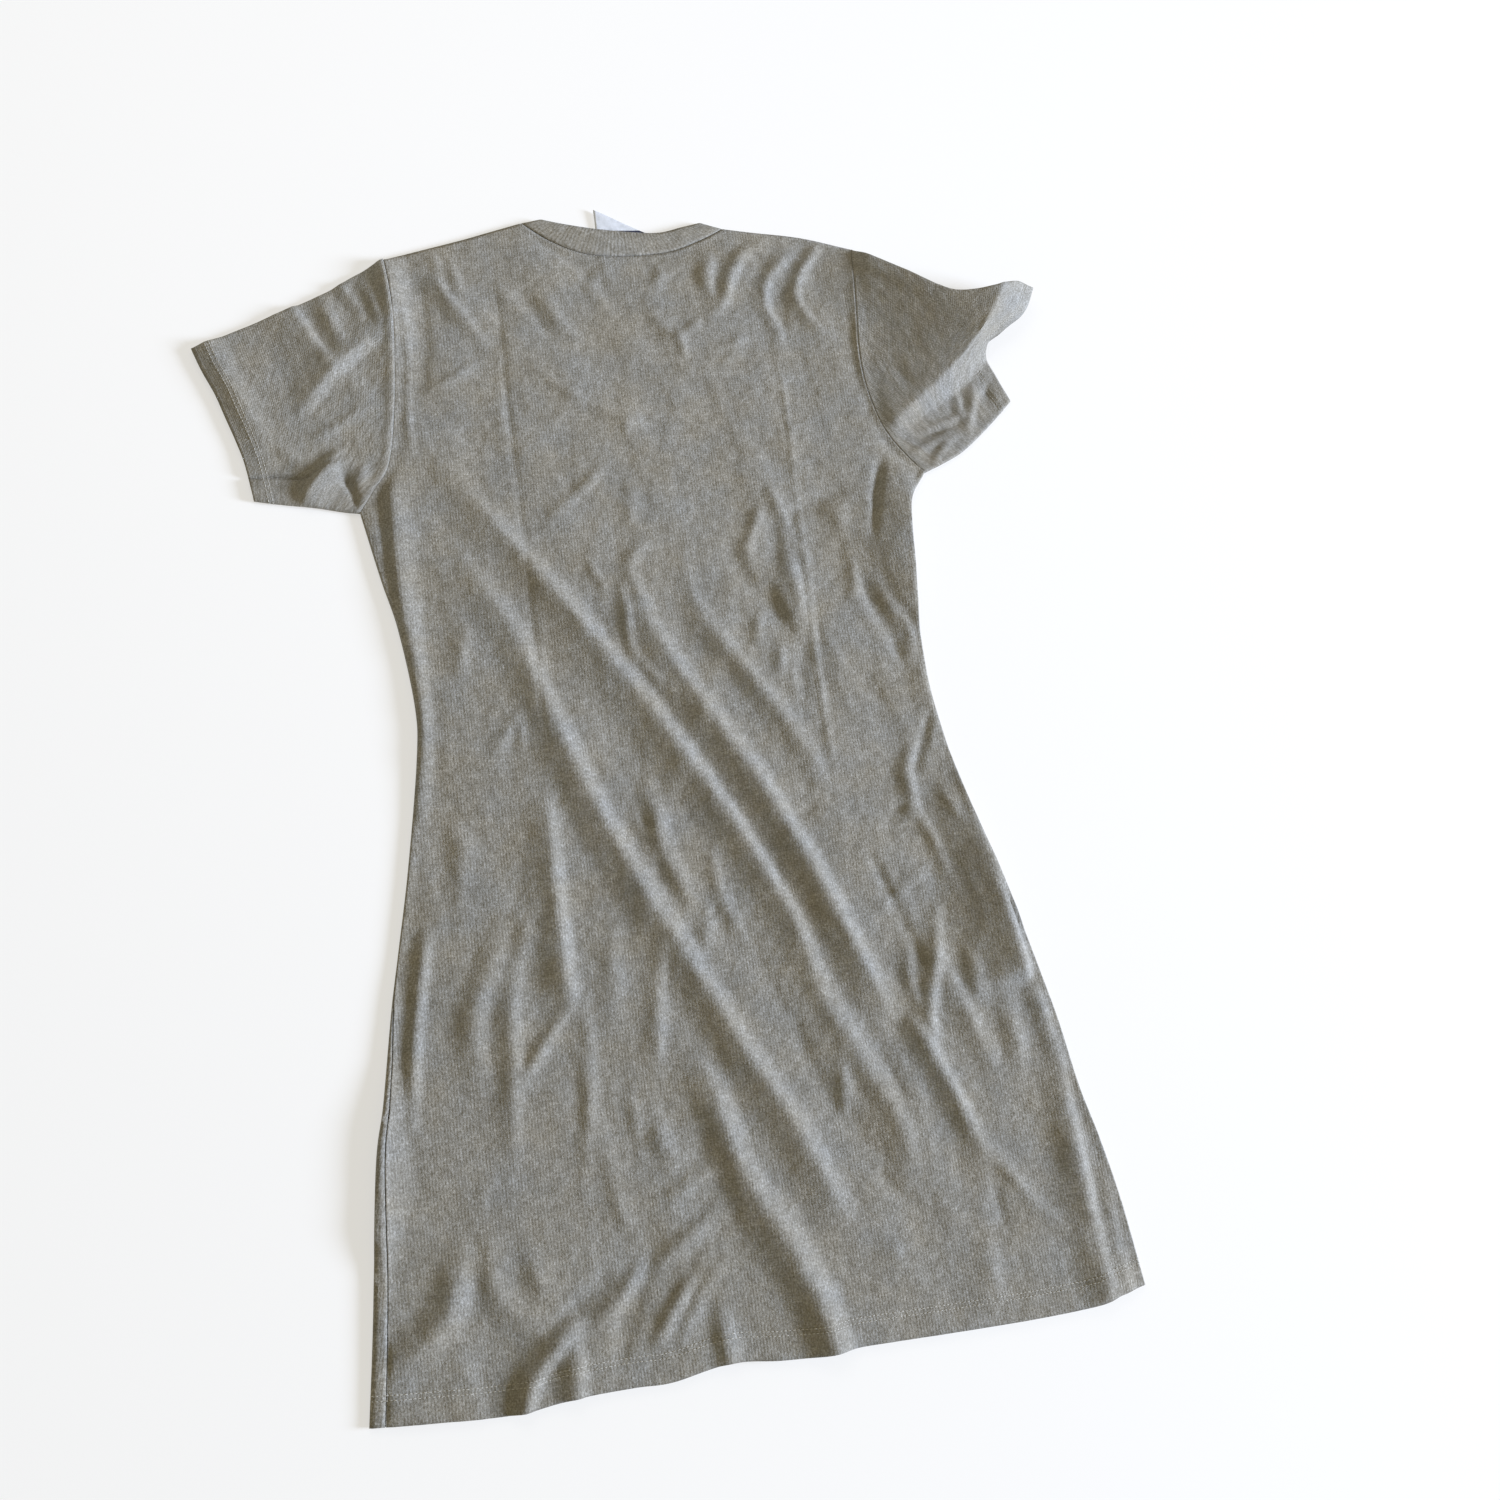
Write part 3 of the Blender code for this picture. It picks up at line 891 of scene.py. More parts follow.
@dataclass(frozen=True)
class Pattern:
    """Outlines that the pieces share, followed upwards or from left to right.

    Attributes:
        side_left: Left side seam, from hem to armpit.
        side_right: Right side seam.
        armhole_left: Left armhole, from armpit to shoulder.
        armhole_right: Right armhole.
        hem: Hem, from left to right.
        shoulder_left: Left shoulder, from the armhole to the neck.
        shoulder_right: Right shoulder, from the neck to the armhole.
        back_neck_seam: Seam of the neckband on the back.
        back_neck_edge: Free edge of the band there.
        front_neck_seam: Seam of the neckband on the front.
        front_neck_edge: Free edge of the band there.
        armpit_at: Share up a panel's edge where the armpit is.
        neck_from: Share across a panel's top where the neck starts.
        neck_to: Share where it ends.
    """

    side_left: Line = Line(
        (-271, 0), (-264, 60), (-254, 160), (-246, 200), (-236, 260), (-228, 300), (-216, 360),
        (-203, 440), (-201, 480), (-208, 540), (-217, 580), (-228, 635),
    )
    side_right: Line = Line(
        (271, 0), (265, 60), (258, 105), (250, 145), (243, 200), (231, 260), (221, 300),
        (206.5, 360), (193, 440), (191, 490), (195.5, 560), (202.5, 614), (220, 642),
    )
    armhole_left: Line = Line(
        (-228, 635), (-217, 652), (-204, 673), (-196, 720), (-191, 783), (-191, 818), (-194, 850)
    )
    armhole_right: Line = Line(
        (220, 642), (209, 655), (197, 673), (189, 692), (183, 722), (182, 752), (185, 785),
        (188, 814), (192, 850),
    )
    hem: Line = Line(
        (-271, 0), (-230, -4), (-180, -8), (-140, -5), (-100, -5), (-75, -6), (-35, -1), (0, -5),
        (30, -7), (60, -6), (130, -8), (190, -9), (230, -8), (250, -4), (271, 0),
    )
    shoulder_left: Line = Line((-194, 850), (-160, 859), (-130, 867), (-110, 873), (-83, 881))
    shoulder_right: Line = Line((85, 872), (110, 868), (150, 862), (192, 850))
    back_neck_seam: Line = Line(
        (-83, 881), (-60, 863), (-33, 851), (0, 848), (35, 851), (63, 861), (85, 872)
    )
    back_neck_edge: Line = Line(
        (-68, 884), (-48, 879), (-23, 874), (0, 871), (28, 869), (50, 874), (67, 878)
    )
    front_neck_seam: Line = Line(
        (-83, 881), (-78, 845), (-52, 796), (0, 778), (54, 796), (80, 842), (85, 872)
    )
    front_neck_edge: Line = Line(
        (-68, 884), (-61, 848), (-40, 811), (0, 796), (42, 811), (63, 845), (67, 878)
    )
    armpit_at: float = 0.72
    neck_from: float = 0.3
    neck_to: float = 0.7

    def left(self) -> Callable:
        """Left edge of a panel, from hem to shoulder."""
        return in_order([self.side_left, self.armhole_left], [0, self.armpit_at, 1])

    def right(self) -> Callable:
        """Right edge of a panel, from hem to shoulder."""
        return in_order([self.side_right, self.armhole_right], [0, self.armpit_at, 1])

    def top(self, neck_seam: Line) -> Callable:
        """Top edge of a panel whose neckline is given: left shoulder, neck, right shoulder."""
        lines = [self.shoulder_left, neck_seam, self.shoulder_right]
        return in_order(lines, [0, self.neck_from, self.neck_to, 1])

    def sewn_above(self) -> list[Line]:
        """Seams of the back above the armpits: armholes, shoulders and neck."""
        armholes = [self.armhole_left, self.armhole_right]
        return [*armholes, self.shoulder_left, self.shoulder_right, self.back_neck_seam]

    def rim(self, plan: np.ndarray, width: float) -> np.ndarray:
        """1 at the sewn edges of the body, falling to 0 inside it.

        Args:
            plan: Plan places, one a row.
            width: How far in the fall takes.

        Returns:
            One value for each place.
        """
        edges = [self.side_left, self.side_right, *self.sewn_above()]
        nearest = np.min([np.abs(line.nearest(plan, width * 2.5)[0]) for line in edges], axis=0)
        return np.exp(-((nearest / width) ** 2))


@dataclass(frozen=True)
class RolledEdge:
    """How a side edge rolls over: its radius at each height, and how far the seam is past it.

    Attributes:
        side: Which edge it is.
        heights: Heights up the dress where the values below hold.
        radius: Upright radius of the roll there.
        over: Length of front panel that has rolled over the edge there.
        fall: How far in from the edge the back panel takes to come down from the roll.
    """

    side: Side
    heights: tuple[float, ...]
    radius: tuple[float, ...]
    over: tuple[float, ...]
    fall: tuple[float, ...]

    # Largest radius of a roll in plan: a tall one is narrow, so that the outline stays in place.
    WIDEST = 0.9

    def roll(self, y: float) -> float:
        """Upright radius of the roll at a height up the dress."""
        return float(np.interp(y, self.heights, self.radius))

    def seam(self, y: float) -> float:
        """Distance along the cloth from where the front leaves the ground to the seam."""
        return math.pi * self.roll(y) / 2 + float(np.interp(y, self.heights, self.over))

    def place(self, y: float, arc: float) -> tuple[float, float]:
        """Where a point of the edge lies.

        Args:
            y: Height up the dress.
            arc: Distance along the cloth from where the front leaves the ground.

        Returns:
            Distance in from the outline, and height.
        """
        radius = self.roll(y)
        wide = min(radius, self.WIDEST)
        turn = min(max(arc, 0) / radius, math.pi)
        past = max(arc - math.pi * radius, 0) - min(arc, 0)
        return wide * (1 - math.sin(turn)) + past, LOW + radius * (1 - math.cos(turn))


LEFT_EDGE = RolledEdge(
    Side.LEFT,
    heights=(0, 90, 120, 190, 230, 300, 400, 440, 530, 600, 640),
    radius=(1.4, 1.8, 4.2, 4.2, 2.2, 1.4, 1.6, 2.2, 2.4, 1.8, 1.4),
    over=(11, 10.5, 13.2, 10, 5.6, 0, 0, 0, 0, 0, 0),
    fall=(14, 16, 21, 21, 16, 14, 14, 12, 12, 14, 14),
)
RIGHT_EDGE = RolledEdge(
    Side.RIGHT,
    heights=(
        0, 60, 110, 200, 228, 262, 280, 320, 350, 385, 410, 430, 480, 508, 530, 560, 600, 630, 650
    ),
    radius=(
        1.4, 2.0, 2.0, 1.4, 1.4, 2.4, 4.8, 6.2, 5.2, 2.8, 1.4, 2.0, 2.2, 1.8, 4.6, 6.4, 6.2, 3.2,
        1.4,
    ),
    over=(0,) * 19,
    fall=(14,) * 19,
)


@dataclass
class BodyPanel:
    """One of the two panels of the body, from hem to shoulders.

    Attributes:
        pattern: Outlines.
        neck_seam: Its own neckline.
        name: Name of the piece.
        replaced: CAD node that it stands for.
        across: Cells across, between the rolled edges.
        rows: Cells up the side and up the armhole.
        curl: Cells round a rolled edge.
        seam_gap: Gap at a seam on a rolled edge.
    """

    pattern: Pattern
    neck_seam: Line
    name: str
    replaced: str
    across: int = 163
    rows: tuple[int, int] = (200, 76)
    curl: int = 5
    seam_gap: float = 0.5

    def shares_up(self) -> np.ndarray:
        """Shares up the panel of its rows."""
        side = np.linspace(0, self.pattern.armpit_at, self.rows[0] + 1)
        armhole = np.linspace(self.pattern.armpit_at, 1, self.rows[1] + 1)[1:]
        return np.concatenate([side, armhole])

    def arcs(self, edge: RolledEdge, y: float) -> np.ndarray:
        """Distances along the cloth from the ground to each point of a rolled edge, seam first."""
        raise NotImplementedError

    def level(self, plan: np.ndarray) -> np.ndarray:
        """Height of the cloth at each place between its rolled edges."""
        raise NotImplementedError

    def sewn_level(self, edge: RolledEdge, up: float) -> float:
        """Height of the panel's edge at a share up it, above the armpit."""
        raise NotImplementedError

    def finished(self, across: np.ndarray, heights: np.ndarray) -> np.ndarray:
        """Heights after the panel's top edge has been brought to its seams."""
        raise NotImplementedError

    def on_shoulder(self, across: np.ndarray) -> np.ndarray:
        """Which columns of the panel end at a shoulder, not at the neck."""
        return (across[-1] <= self.pattern.neck_from) | (across[-1] >= self.pattern.neck_to)

    def edge(self, edge: RolledEdge, up: float, y: float) -> list[tuple[float, float]]:
        """Points of one side edge, from the seam inwards.

        Args:
            edge: The rolled edge on that side.
            up: Share up the panel.
            y: Height up the dress.

        Returns:
            Distance in from the outline and height of each point.
        """
        if up <= self.pattern.armpit_at:
            return [edge.place(y, arc) for arc in self.arcs(edge, y)]
        level = self.sewn_level(edge, up)
        return [(ROLL * step / self.curl, level) for step in range(self.curl + 1)]

    def grid(self) -> ClothGrid:
        """Sets the whole panel out.

        Returns:
            The panel as a grid of places.
        """
        left, right = self.pattern.left(), self.pattern.right()
        top = self.pattern.top(self.neck_seam)
        ups = self.shares_up()
        inner = np.linspace(0, 1, self.across + 1)[1:-1]
        unset = [np.nan] * len(inner)
        shares, heights = [], []
        for up in ups:
            ends = left(up), right(up)
            width = float(np.linalg.norm(ends[1] - ends[0]))
            lefts = self.edge(LEFT_EDGE, up, float(ends[0][1]))
            rights = self.edge(RIGHT_EDGE, up, float(ends[1][1]))
            low, high = lefts[-1][0] / width, 1 - rights[-1][0] / width
            shares.append(
                [inward / width for inward, _ in lefts]
                + list(low + (high - low) * inner)
                + [1 - inward / width for inward, _ in rights[::-1]]
            )
            rises = [[height for _, height in side] for side in (lefts, rights[::-1])]
            heights.append(rises[0] + unset + rises[1])
        across, heights = np.array(shares), np.array(heights)
        up = np.repeat(ups[:, None], across.shape[1], axis=1)
        plan = patch(left, right, self.pattern.hem, top, across, up)
        free = np.isnan(heights)
        heights[free] = self.level(plan[free])
        heights = self.finished(across, smoothed(heights))
        places = np.concatenate([plan, heights[..., None]], axis=-1)
        return ClothGrid(places, self.cut(places))

    def cut(self, places: np.ndarray) -> np.ndarray:
        """Where each place of the panel is on its flat cut, with the rolled edges opened out.

        Args:
            places: Rows by columns by x, y and height.

        Returns:
            Rows by columns by x and y.
        """
        cut = places[..., :2].copy()
        for foot_at, inner_at, columns in (
            (self.curl, 2 * self.curl, range(self.curl - 1, -1, -1)),
            (-self.curl - 1, -2 * self.curl - 1, range(-self.curl, 0)),
        ):
            rolled = places[:, [foot_at, *columns]]
            steps = np.linalg.norm(np.diff(rolled, axis=1), axis=-1)
            foot, inner = rolled[:, :1, :2], cut[:, [inner_at]]
            outward = (foot - inner) / np.linalg.norm(foot - inner, axis=-1, keepdims=True)
            cut[:, list(columns)] = foot + outward * np.cumsum(steps, axis=1)[..., None]
        return cut

    def build(self, material: Material) -> LaidCloth:
        """Makes the panel and hides the CAD part that it stands for.

        Args:
            material: Its finish.

        Returns:
            The panel as it lies.
        """
        grid = self.grid()
        made = grid.object(self.name, CLOTH, material)
        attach(made, "root")
        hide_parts(self.replaced)
        flat = grid.cut.reshape(-1, 2)
        size, area = tuple((flat.max(axis=0) - flat.min(axis=0)) * MM), area_of(grid.cut)
        LOG.info("%s: cloth %.4f m2, cut %.4f m2", self.name, grid.area(), area)
        return LaidCloth(made, grid, size, area)


@dataclass
class FrontPanel(BodyPanel):
    """The front, under the back: flat but for shallow creases, its sides rolled up to the seams.

    Attributes:
        creases: Its creases.
        crumple: Its fine relief.
    """

    name: str = "front"
    replaced: str = "front_panel"
    across: int = 120
    rows: tuple[int, int] = (150, 56)
    creases: tuple[Crease, ...] = creases(
        (14, 10, 0.3, (-150, 640, 0), (-90, 560, 0.9), (-20, 440, 0.9), (40, 330, 0.7),
         (70, 250, 0)),
        (12, 10, 0.3, (60, 600, 0), (20, 480, 0.8), (-40, 360, 0.9), (-70, 240, 0)),
        (10, 10, 0.3, (-100, 300, 0), (-110, 200, 0.8), (-90, 100, 0.7), (-60, 30, 0)),
        (10, 12, 0.3, (90, 250, 0), (120, 170, 0.9), (130, 90, 0.8), (150, 20, 0)),
        (8, 8, 0.5, (-40, 770, 0), (-60, 720, 0.8), (-110, 670, 0)),
        (8, 8, 0.5, (40, 770, 0), (60, 715, 0.8), (80, 640, 0)),
    )
    crumple: Crumple = Crumple(0.25, 26, 40, 15, 0.4, 41)

    # Most that the front stands off the ground, and how far in its edges hold it down.
    HIGHEST = 1.2
    HELD = 12.0

    def relief(self, plan: np.ndarray) -> np.ndarray:
        """How far the cloth stands off the ground at each place, away from its edges."""
        height = sum(crease.height(plan) for crease in self.creases) + self.crumple.relief(plan)
        return np.clip(height, 0, self.HIGHEST)

    def level(self, plan: np.ndarray) -> np.ndarray:
        """Height of the cloth at each place between its rolled edges."""
        return LOW + self.relief(plan) * (1 - self.pattern.rim(plan, self.HELD))

    def arcs(self, edge: RolledEdge, y: float) -> np.ndarray:
        """Where the points of a rolled edge are along the cloth, from just under the seam."""
        return np.linspace(edge.seam(y) - self.seam_gap / 2, 0, self.curl + 1)

    def sewn_level(self, edge: RolledEdge, up: float) -> float:
        """Height of the panel's edge above the armpit, which is the ground's."""
        return LOW

    def finished(self, across: np.ndarray, heights: np.ndarray) -> np.ndarray:
        """Heights after the shoulders have come up to their seams."""
        heights[-1, self.on_shoulder(across)] = MIDDLE - self.seam_gap / 2
        return heights


# The tables below hold the creases of the back: width on the left, width on the right, crispness,
# then the crest as x, y and rise. These first ones are the great slanting folds and the crest by
# the left edge.
GREAT_FOLDS = creases(
    (32, 15, 0.6, (-170, 678, 0, 30, 12.6), (-158, 658, 3, 30, 13.5), (-126, 612, 5.4, 32, 13.5),
     (-83, 547, 6.6, 33, 13.5), (-48, 492, 6.6, 32, 12.6), (-10, 426, 6.6, 30, 10.8),
     (18, 376, 6.6, 28, 9), (44, 318, 6, 26, 8.1), (57, 283, 5.4, 24, 10.8),
     (66, 236, 5.4, 24, 14.4), (90, 184, 5.4, 28, 14.4), (110, 135, 4.8, 26, 12.6),
     (116, 92, 0, 20, 10.8)),
    (24, 13.5, 0.5, (-38, 570, 0), (-22, 526, 4.1), (6, 468, 6.7), (42, 402, 8), (72, 334, 9.4),
     (92, 280, 8), (106, 240, 6), (118, 208, 0)),
    (18, 11, 0.5, (8, 580, 0), (20, 530, 3.4), (44, 492, 4.7), (74, 440, 4.7), (92, 400, 2),
     (100, 380, 0)),
    (26, 12.5, 0.5, (-162, 600, 0), (-144, 566, 3.4), (-122, 524, 4.7), (-106, 472, 6),
     (-86, 410, 6.7), (-62, 350, 6.7), (-42, 305, 6.7), (-28, 276, 6.7), (1, 212, 7.4),
     (31, 152, 6.7), (50, 104, 5.4), (62, 72, 0)),
    (24, 18, 0.4, (-30, 210, 0, 20, 10.8), (-20, 170, 5.4, 22, 12.6), (-9, 122, 7.2, 24, 15.3),
     (12, 78, 7.8, 26, 17.1), (30, 34, 8.4, 24, 17.1), (38, 0, 8.4, 22, 16.2),
     (44, -30, 8.4, 22, 16.2)),
    (24, 9, 0.6, (-114, 408, 0), (-115, 380, 4.1), (-115, 330, 6), (-115, 275, 6), (-114, 250, 2),
     (-113, 232, 0)),
    (9, 20, 0.4, (-203, 672, 0, 7, 20), (-205, 640, 3.8, 7, 18), (-206, 590, 5.4, 7, 18),
     (-203, 545, 6, 8, 16), (-198, 500, 5.4, 8, 11), (-199, 450, 4.5, 8, 11),
     (-206, 400, 2.8, 8, 12), (-212, 360, 0, 8, 12)),
)

# Flaps that the right side of the body folds up into, and the small ridges between them.
FLAPS = creases(
    (58, 9, 0.8, (218, 652, 0, 40, 6), (207, 632, 5, 44, 6), (204, 608, 9.6, 52, 6),
     (200, 580, 12, 58, 6), (196, 555, 11.4, 53, 6), (191, 530, 8, 32, 6), (190, 519, 2.5, 14, 6),
     (189, 512, 0, 10, 6)),
    (16, 6, 0.4, (190, 505, 0), (188, 480, 3), (189, 450, 3.2), (193, 425, 2), (198, 405, 0)),
    (50, 9, 0.8, (199, 408, 0, 14, 6), (204, 385, 4.4, 24, 6), (208, 350, 9.4, 43, 6),
     (214, 315, 11.8, 47, 6), (219, 280, 12.4, 49, 7), (222, 255, 12, 50, 8),
     (225, 233, 10.4, 50, 8), (226, 227, 0.6, 50, 8), (227, 215, 0, 10, 8)),
    (12, 8, 0.4, (229, 225, 0), (231, 212, 3.1), (236, 180, 2.5), (243, 150, 0)),
)

# Creases of the left side, from the armpit to the skirt.
SIDE_CREASES = creases(
    (9, 5, 0.7, (-206, 318, 0), (-211, 295, 3.5), (-218, 260, 4.4), (-224, 222, 4.8),
     (-228, 190, 2.8), (-229, 176, 0)),
    (8, 6, 0.4, (-224, 656, 0), (-219, 625, 2.6), (-215, 590, 2.4), (-209, 560, 0)),
    (14, 12, 0.3, (-180, 398, 0), (-178, 365, 2.2), (-188, 320, 0)),
    (16, 12, 0.3, (-156, 322, 0), (-166, 285, 2.8), (-182, 245, 3.3), (-182, 195, 0)),
    (16, 8, 0.4, (-144, 300, 0), (-154, 258, 3.1), (-157, 215, 3.3), (-161, 180, 2.8),
     (-162, 140, 0)),
    (16, 12, 0.3, (-78, 315, 0), (-82, 270, 2.4), (-84, 225, 0)),
    (16, 6, 0.6, (-44, 292, 0), (-49, 260, 2.8), (-54, 225, 3.3), (-60, 192, 0)),
    (10, 12, 0.3, (-44, 408, 0), (-38, 385, 3.3), (-34, 355, 3.5), (-26, 330, 3.3), (-16, 300, 0)),
    (12, 6, 0.5, (-8, 316, 0), (-10, 290, 2.4), (-18, 268, 0)),
    (6, 5, 0.6, (-56, 388, 0), (-48, 372, 1.7), (-36, 358, 0)),
    (10, 6, 0.6, (2, 362, 0), (3, 325, 2.4), (14, 288, 2.1), (22, 268, 0)),
    (10, 5, 0.8, (-110, 254, 0), (-124, 238, 2.8), (-144, 213, 3.1), (-158, 196, 0)),
    (9, 5, 0.7, (-106, 258, 0), (-103, 230, 2.1), (-106, 195, 1.8), (-112, 160, 1.7),
     (-120, 120, 0)),
    (14, 9, 0.4, (-128, 345, 0), (-138, 310, 1.7), (-148, 275, 0)),
)

# Creases above the waist and about the neck.
CHEST_CREASES = creases(
    (16, 8, 0.3, (-172, 862, 0), (-170, 835, -0.8), (-167, 805, -1.7), (-169, 765, -1.5),
     (-174, 735, -0.8), (-178, 700, 0)),
    (3, 3, 0.4, (-188, 842, 0), (-183, 800, 1.1), (-182, 766, 1.3), (-186, 721, 1.3),
     (-186, 690, 1.3), (-178, 640, 0)),
    (14, 6, 0.6, (-158, 838, 0), (-151, 820, 3.4), (-137, 797, 3.4), (-114, 762, 0)),
    (8, 6, 0.5, (-160, 862, 0), (-154, 844, 1.5), (-146, 826, 0)),
    (8, 6, 0.5, (-142, 850, 0), (-140, 830, 1.9), (-132, 812, 0)),
    (6, 10, 0.4, (-84, 882, 0), (-66, 862, -2.4), (-46, 846, -3.4), (-26, 818, 0)),
    (12, 9, 0.4, (-116, 830, 0), (-100, 812, 2.4), (-80, 780, 0)),
    (14, 8, 0.4, (-74, 818, 0), (-62, 790, 2.4), (-44, 770, 0)),
    (8, 5, 0.7, (-92, 758, 0), (-62, 728, 2.2), (-18, 700, 1), (-8, 690, 0)),
    (7, 5, 0.7, (-16, 712, 0), (-17, 700, 1.4), (-20, 680, 0)),
    (8, 5, 0.8, (-40, 668, 0), (-52, 650, 2.4), (-80, 626, 1.9), (-98, 606, 0)),
    (7, 5, 0.7, (-118, 764, 0), (-140, 750, 1.9), (-158, 738, 1.9), (-176, 730, 0)),
    (9, 7, 0.6, (-130, 470, 0), (-138, 452, 2.4), (-150, 436, 0)),
    (8, 7, 0.5, (-130, 472, 0), (-128, 452, 2.2), (-128, 432, 0)),
    (14, 8, 0.4, (-156, 542, 0), (-164, 520, 2.2), (-170, 490, 0)),
    (8, 4, 0.7, (-66, 592, 0), (-56, 570, 2.5), (-46, 546, 0)),
    (9, 4, 0.7, (-40, 576, 0), (-38, 540, 2.6), (-37, 510, 2.6), (-22, 486, 2.4), (-2, 464, 0)),
    (10, 6, 0.6, (-8, 605, 0), (-24, 588, 2.4), (-32, 574, 2.2), (-22, 545, 1.9), (-14, 530, 0)),
    (12, 8, 0.4, (-16, 660, 0), (-24, 625, 1.9), (-22, 595, 0)),
    (12, 7, 0.5, (118, 860, 0), (96, 844, 3.4), (84, 826, 3.6), (76, 805, 3.4), (58, 788, 0)),
    (12, 8, 0.4, (72, 850, 0), (65, 834, 3.1), (64, 815, 2.6), (70, 800, 0)),
    (12, 6, 0.6, (140, 852, 0), (126, 834, 3.4), (113, 818, 3.4), (110, 796, 2.4), (117, 775, 2.2),
     (118, 745, 0)),
    (10, 6, 0.6, (168, 860, 0), (156, 843, 3.6), (144, 826, 3.6), (137, 808, 3.1), (143, 788, 3.1),
     (160, 762, 0)),
    (14, 9, 0.3, (126, 820, 0), (122, 795, -2.6), (126, 772, 0)),
    (7, 5, 0.7, (10, 798, 0), (22, 782, 1.9), (33, 772, 2.6), (46, 782, 1.9), (54, 792, 0)),
    (7, 5, 0.6, (33, 775, 2.2), (36, 762, 2.3), (38, 750, 0)),
    (8, 5, 0.7, (90, 778, 0), (80, 764, 2.2), (66, 760, 1.4), (52, 750, 0)),
    (8, 5, 0.6, (88, 762, 0), (74, 752, 1.9), (62, 744, 0)),
    (9, 6, 0.5, (30, 838, 0), (24, 826, 2.4), (20, 812, 0)),
    (9, 6, 0.5, (-20, 838, 0), (-32, 820, 2.2), (-24, 806, 1.9), (-16, 796, 0)),
    (4, 4, 0.4, (-19, 884, 1.2), (-19, 860, 1.9), (-18, 838, 1.4), (-18, 815, 0)),
    (20, 9, 0.3, (100, 690, 0), (118, 686, 1.2), (140, 694, 0)),
    (12, 9, 0.4, (10, 740, 0), (36, 741, 1.2), (70, 735, 0)),
)

# Creases of the right half, from the armpit to below the waist.
MIDDLE_CREASES = creases(
    (10, 5, 0.6, (84, 628, 0), (74, 608, 2.8), (64, 584, 2.2), (66, 566, 0)),
    (9, 5, 0.6, (88, 640, 0), (93, 622, 2.8), (98, 606, 0)),
    (10, 8, 0.4, (88, 618, 0), (86, 590, -3.1), (86, 566, 0)),
    (7, 9, 0.5, (98, 604, 0), (112, 616, -2.8), (134, 627, -2.8), (160, 632, 0)),
    (14, 14, 0.3, (124, 612, 0), (140, 610, 2.5), (142, 590, 0)),
    (10, 6, 0.6, (46, 592, 0), (55, 570, -4.6), (66, 552, -4.6), (76, 538, 0)),
    (12, 9, 0.4, (74, 560, 0), (78, 536, -3.9), (90, 508, 0)),
    (26, 10, 0.5, (94, 580, 0), (96, 555, 5), (98, 530, 5.2), (102, 505, 0)),
    (8, 5, 0.6, (66, 538, 0), (62, 518, 2.2), (60, 500, 0)),
    (9, 6, 0.5, (80, 510, 0), (76, 492, 2.2), (70, 474, 0)),
    (9, 7, 0.4, (94, 500, 0), (92, 480, -2.2), (90, 450, 0)),
    (8, 4, 0.8, (188, 662, 0), (181, 640, -4.6), (174, 615, -4.6), (165, 582, 0)),
    (8, 5, 0.8, (150, 556, 0), (158, 532, -4.3), (168, 508, -4.3), (172, 480, 0)),
    (8, 7, 0.5, (160, 560, 0), (170, 530, 2.5), (184, 506, 2.8), (176, 478, 0)),
    (8, 6, 0.5, (142, 585, 0), (146, 560, 2), (140, 530, 0)),
    (9, 5, 0.6, (110, 515, 0), (120, 495, 2), (126, 470, 0)),
    (9, 5, 0.6, (120, 475, 0), (145, 450, 1.3), (168, 434, 0)),
    (7, 5, 0.7, (190, 446, 0), (180, 420, -3.6), (168, 398, -3.1), (162, 388, 0)),
    (12, 8, 0.5, (172, 420, 0), (162, 396, 3.4), (160, 372, 3.1), (152, 350, 0)),
    (5, 6, 0.7, (136, 356, 0), (152, 366, -2.8), (168, 376, 0)),
    (8, 5, 0.6, (182, 382, 0), (190, 366, 2.5), (200, 345, 0)),
    (9, 5, 0.6, (160, 370, 0), (168, 350, 2.8), (175, 330, 2.2), (180, 296, 0)),
    (7, 4, 0.8, (120, 340, 0), (128, 315, -3.9), (140, 276, -3.9), (152, 236, 0)),
    (5, 5, 0.7, (104, 282, 0), (128, 296, 1.7), (148, 310, 1.7), (172, 326, 0)),
    (7, 5, 0.6, (62, 366, 0), (76, 371, -2.5), (92, 378, 0)),
)

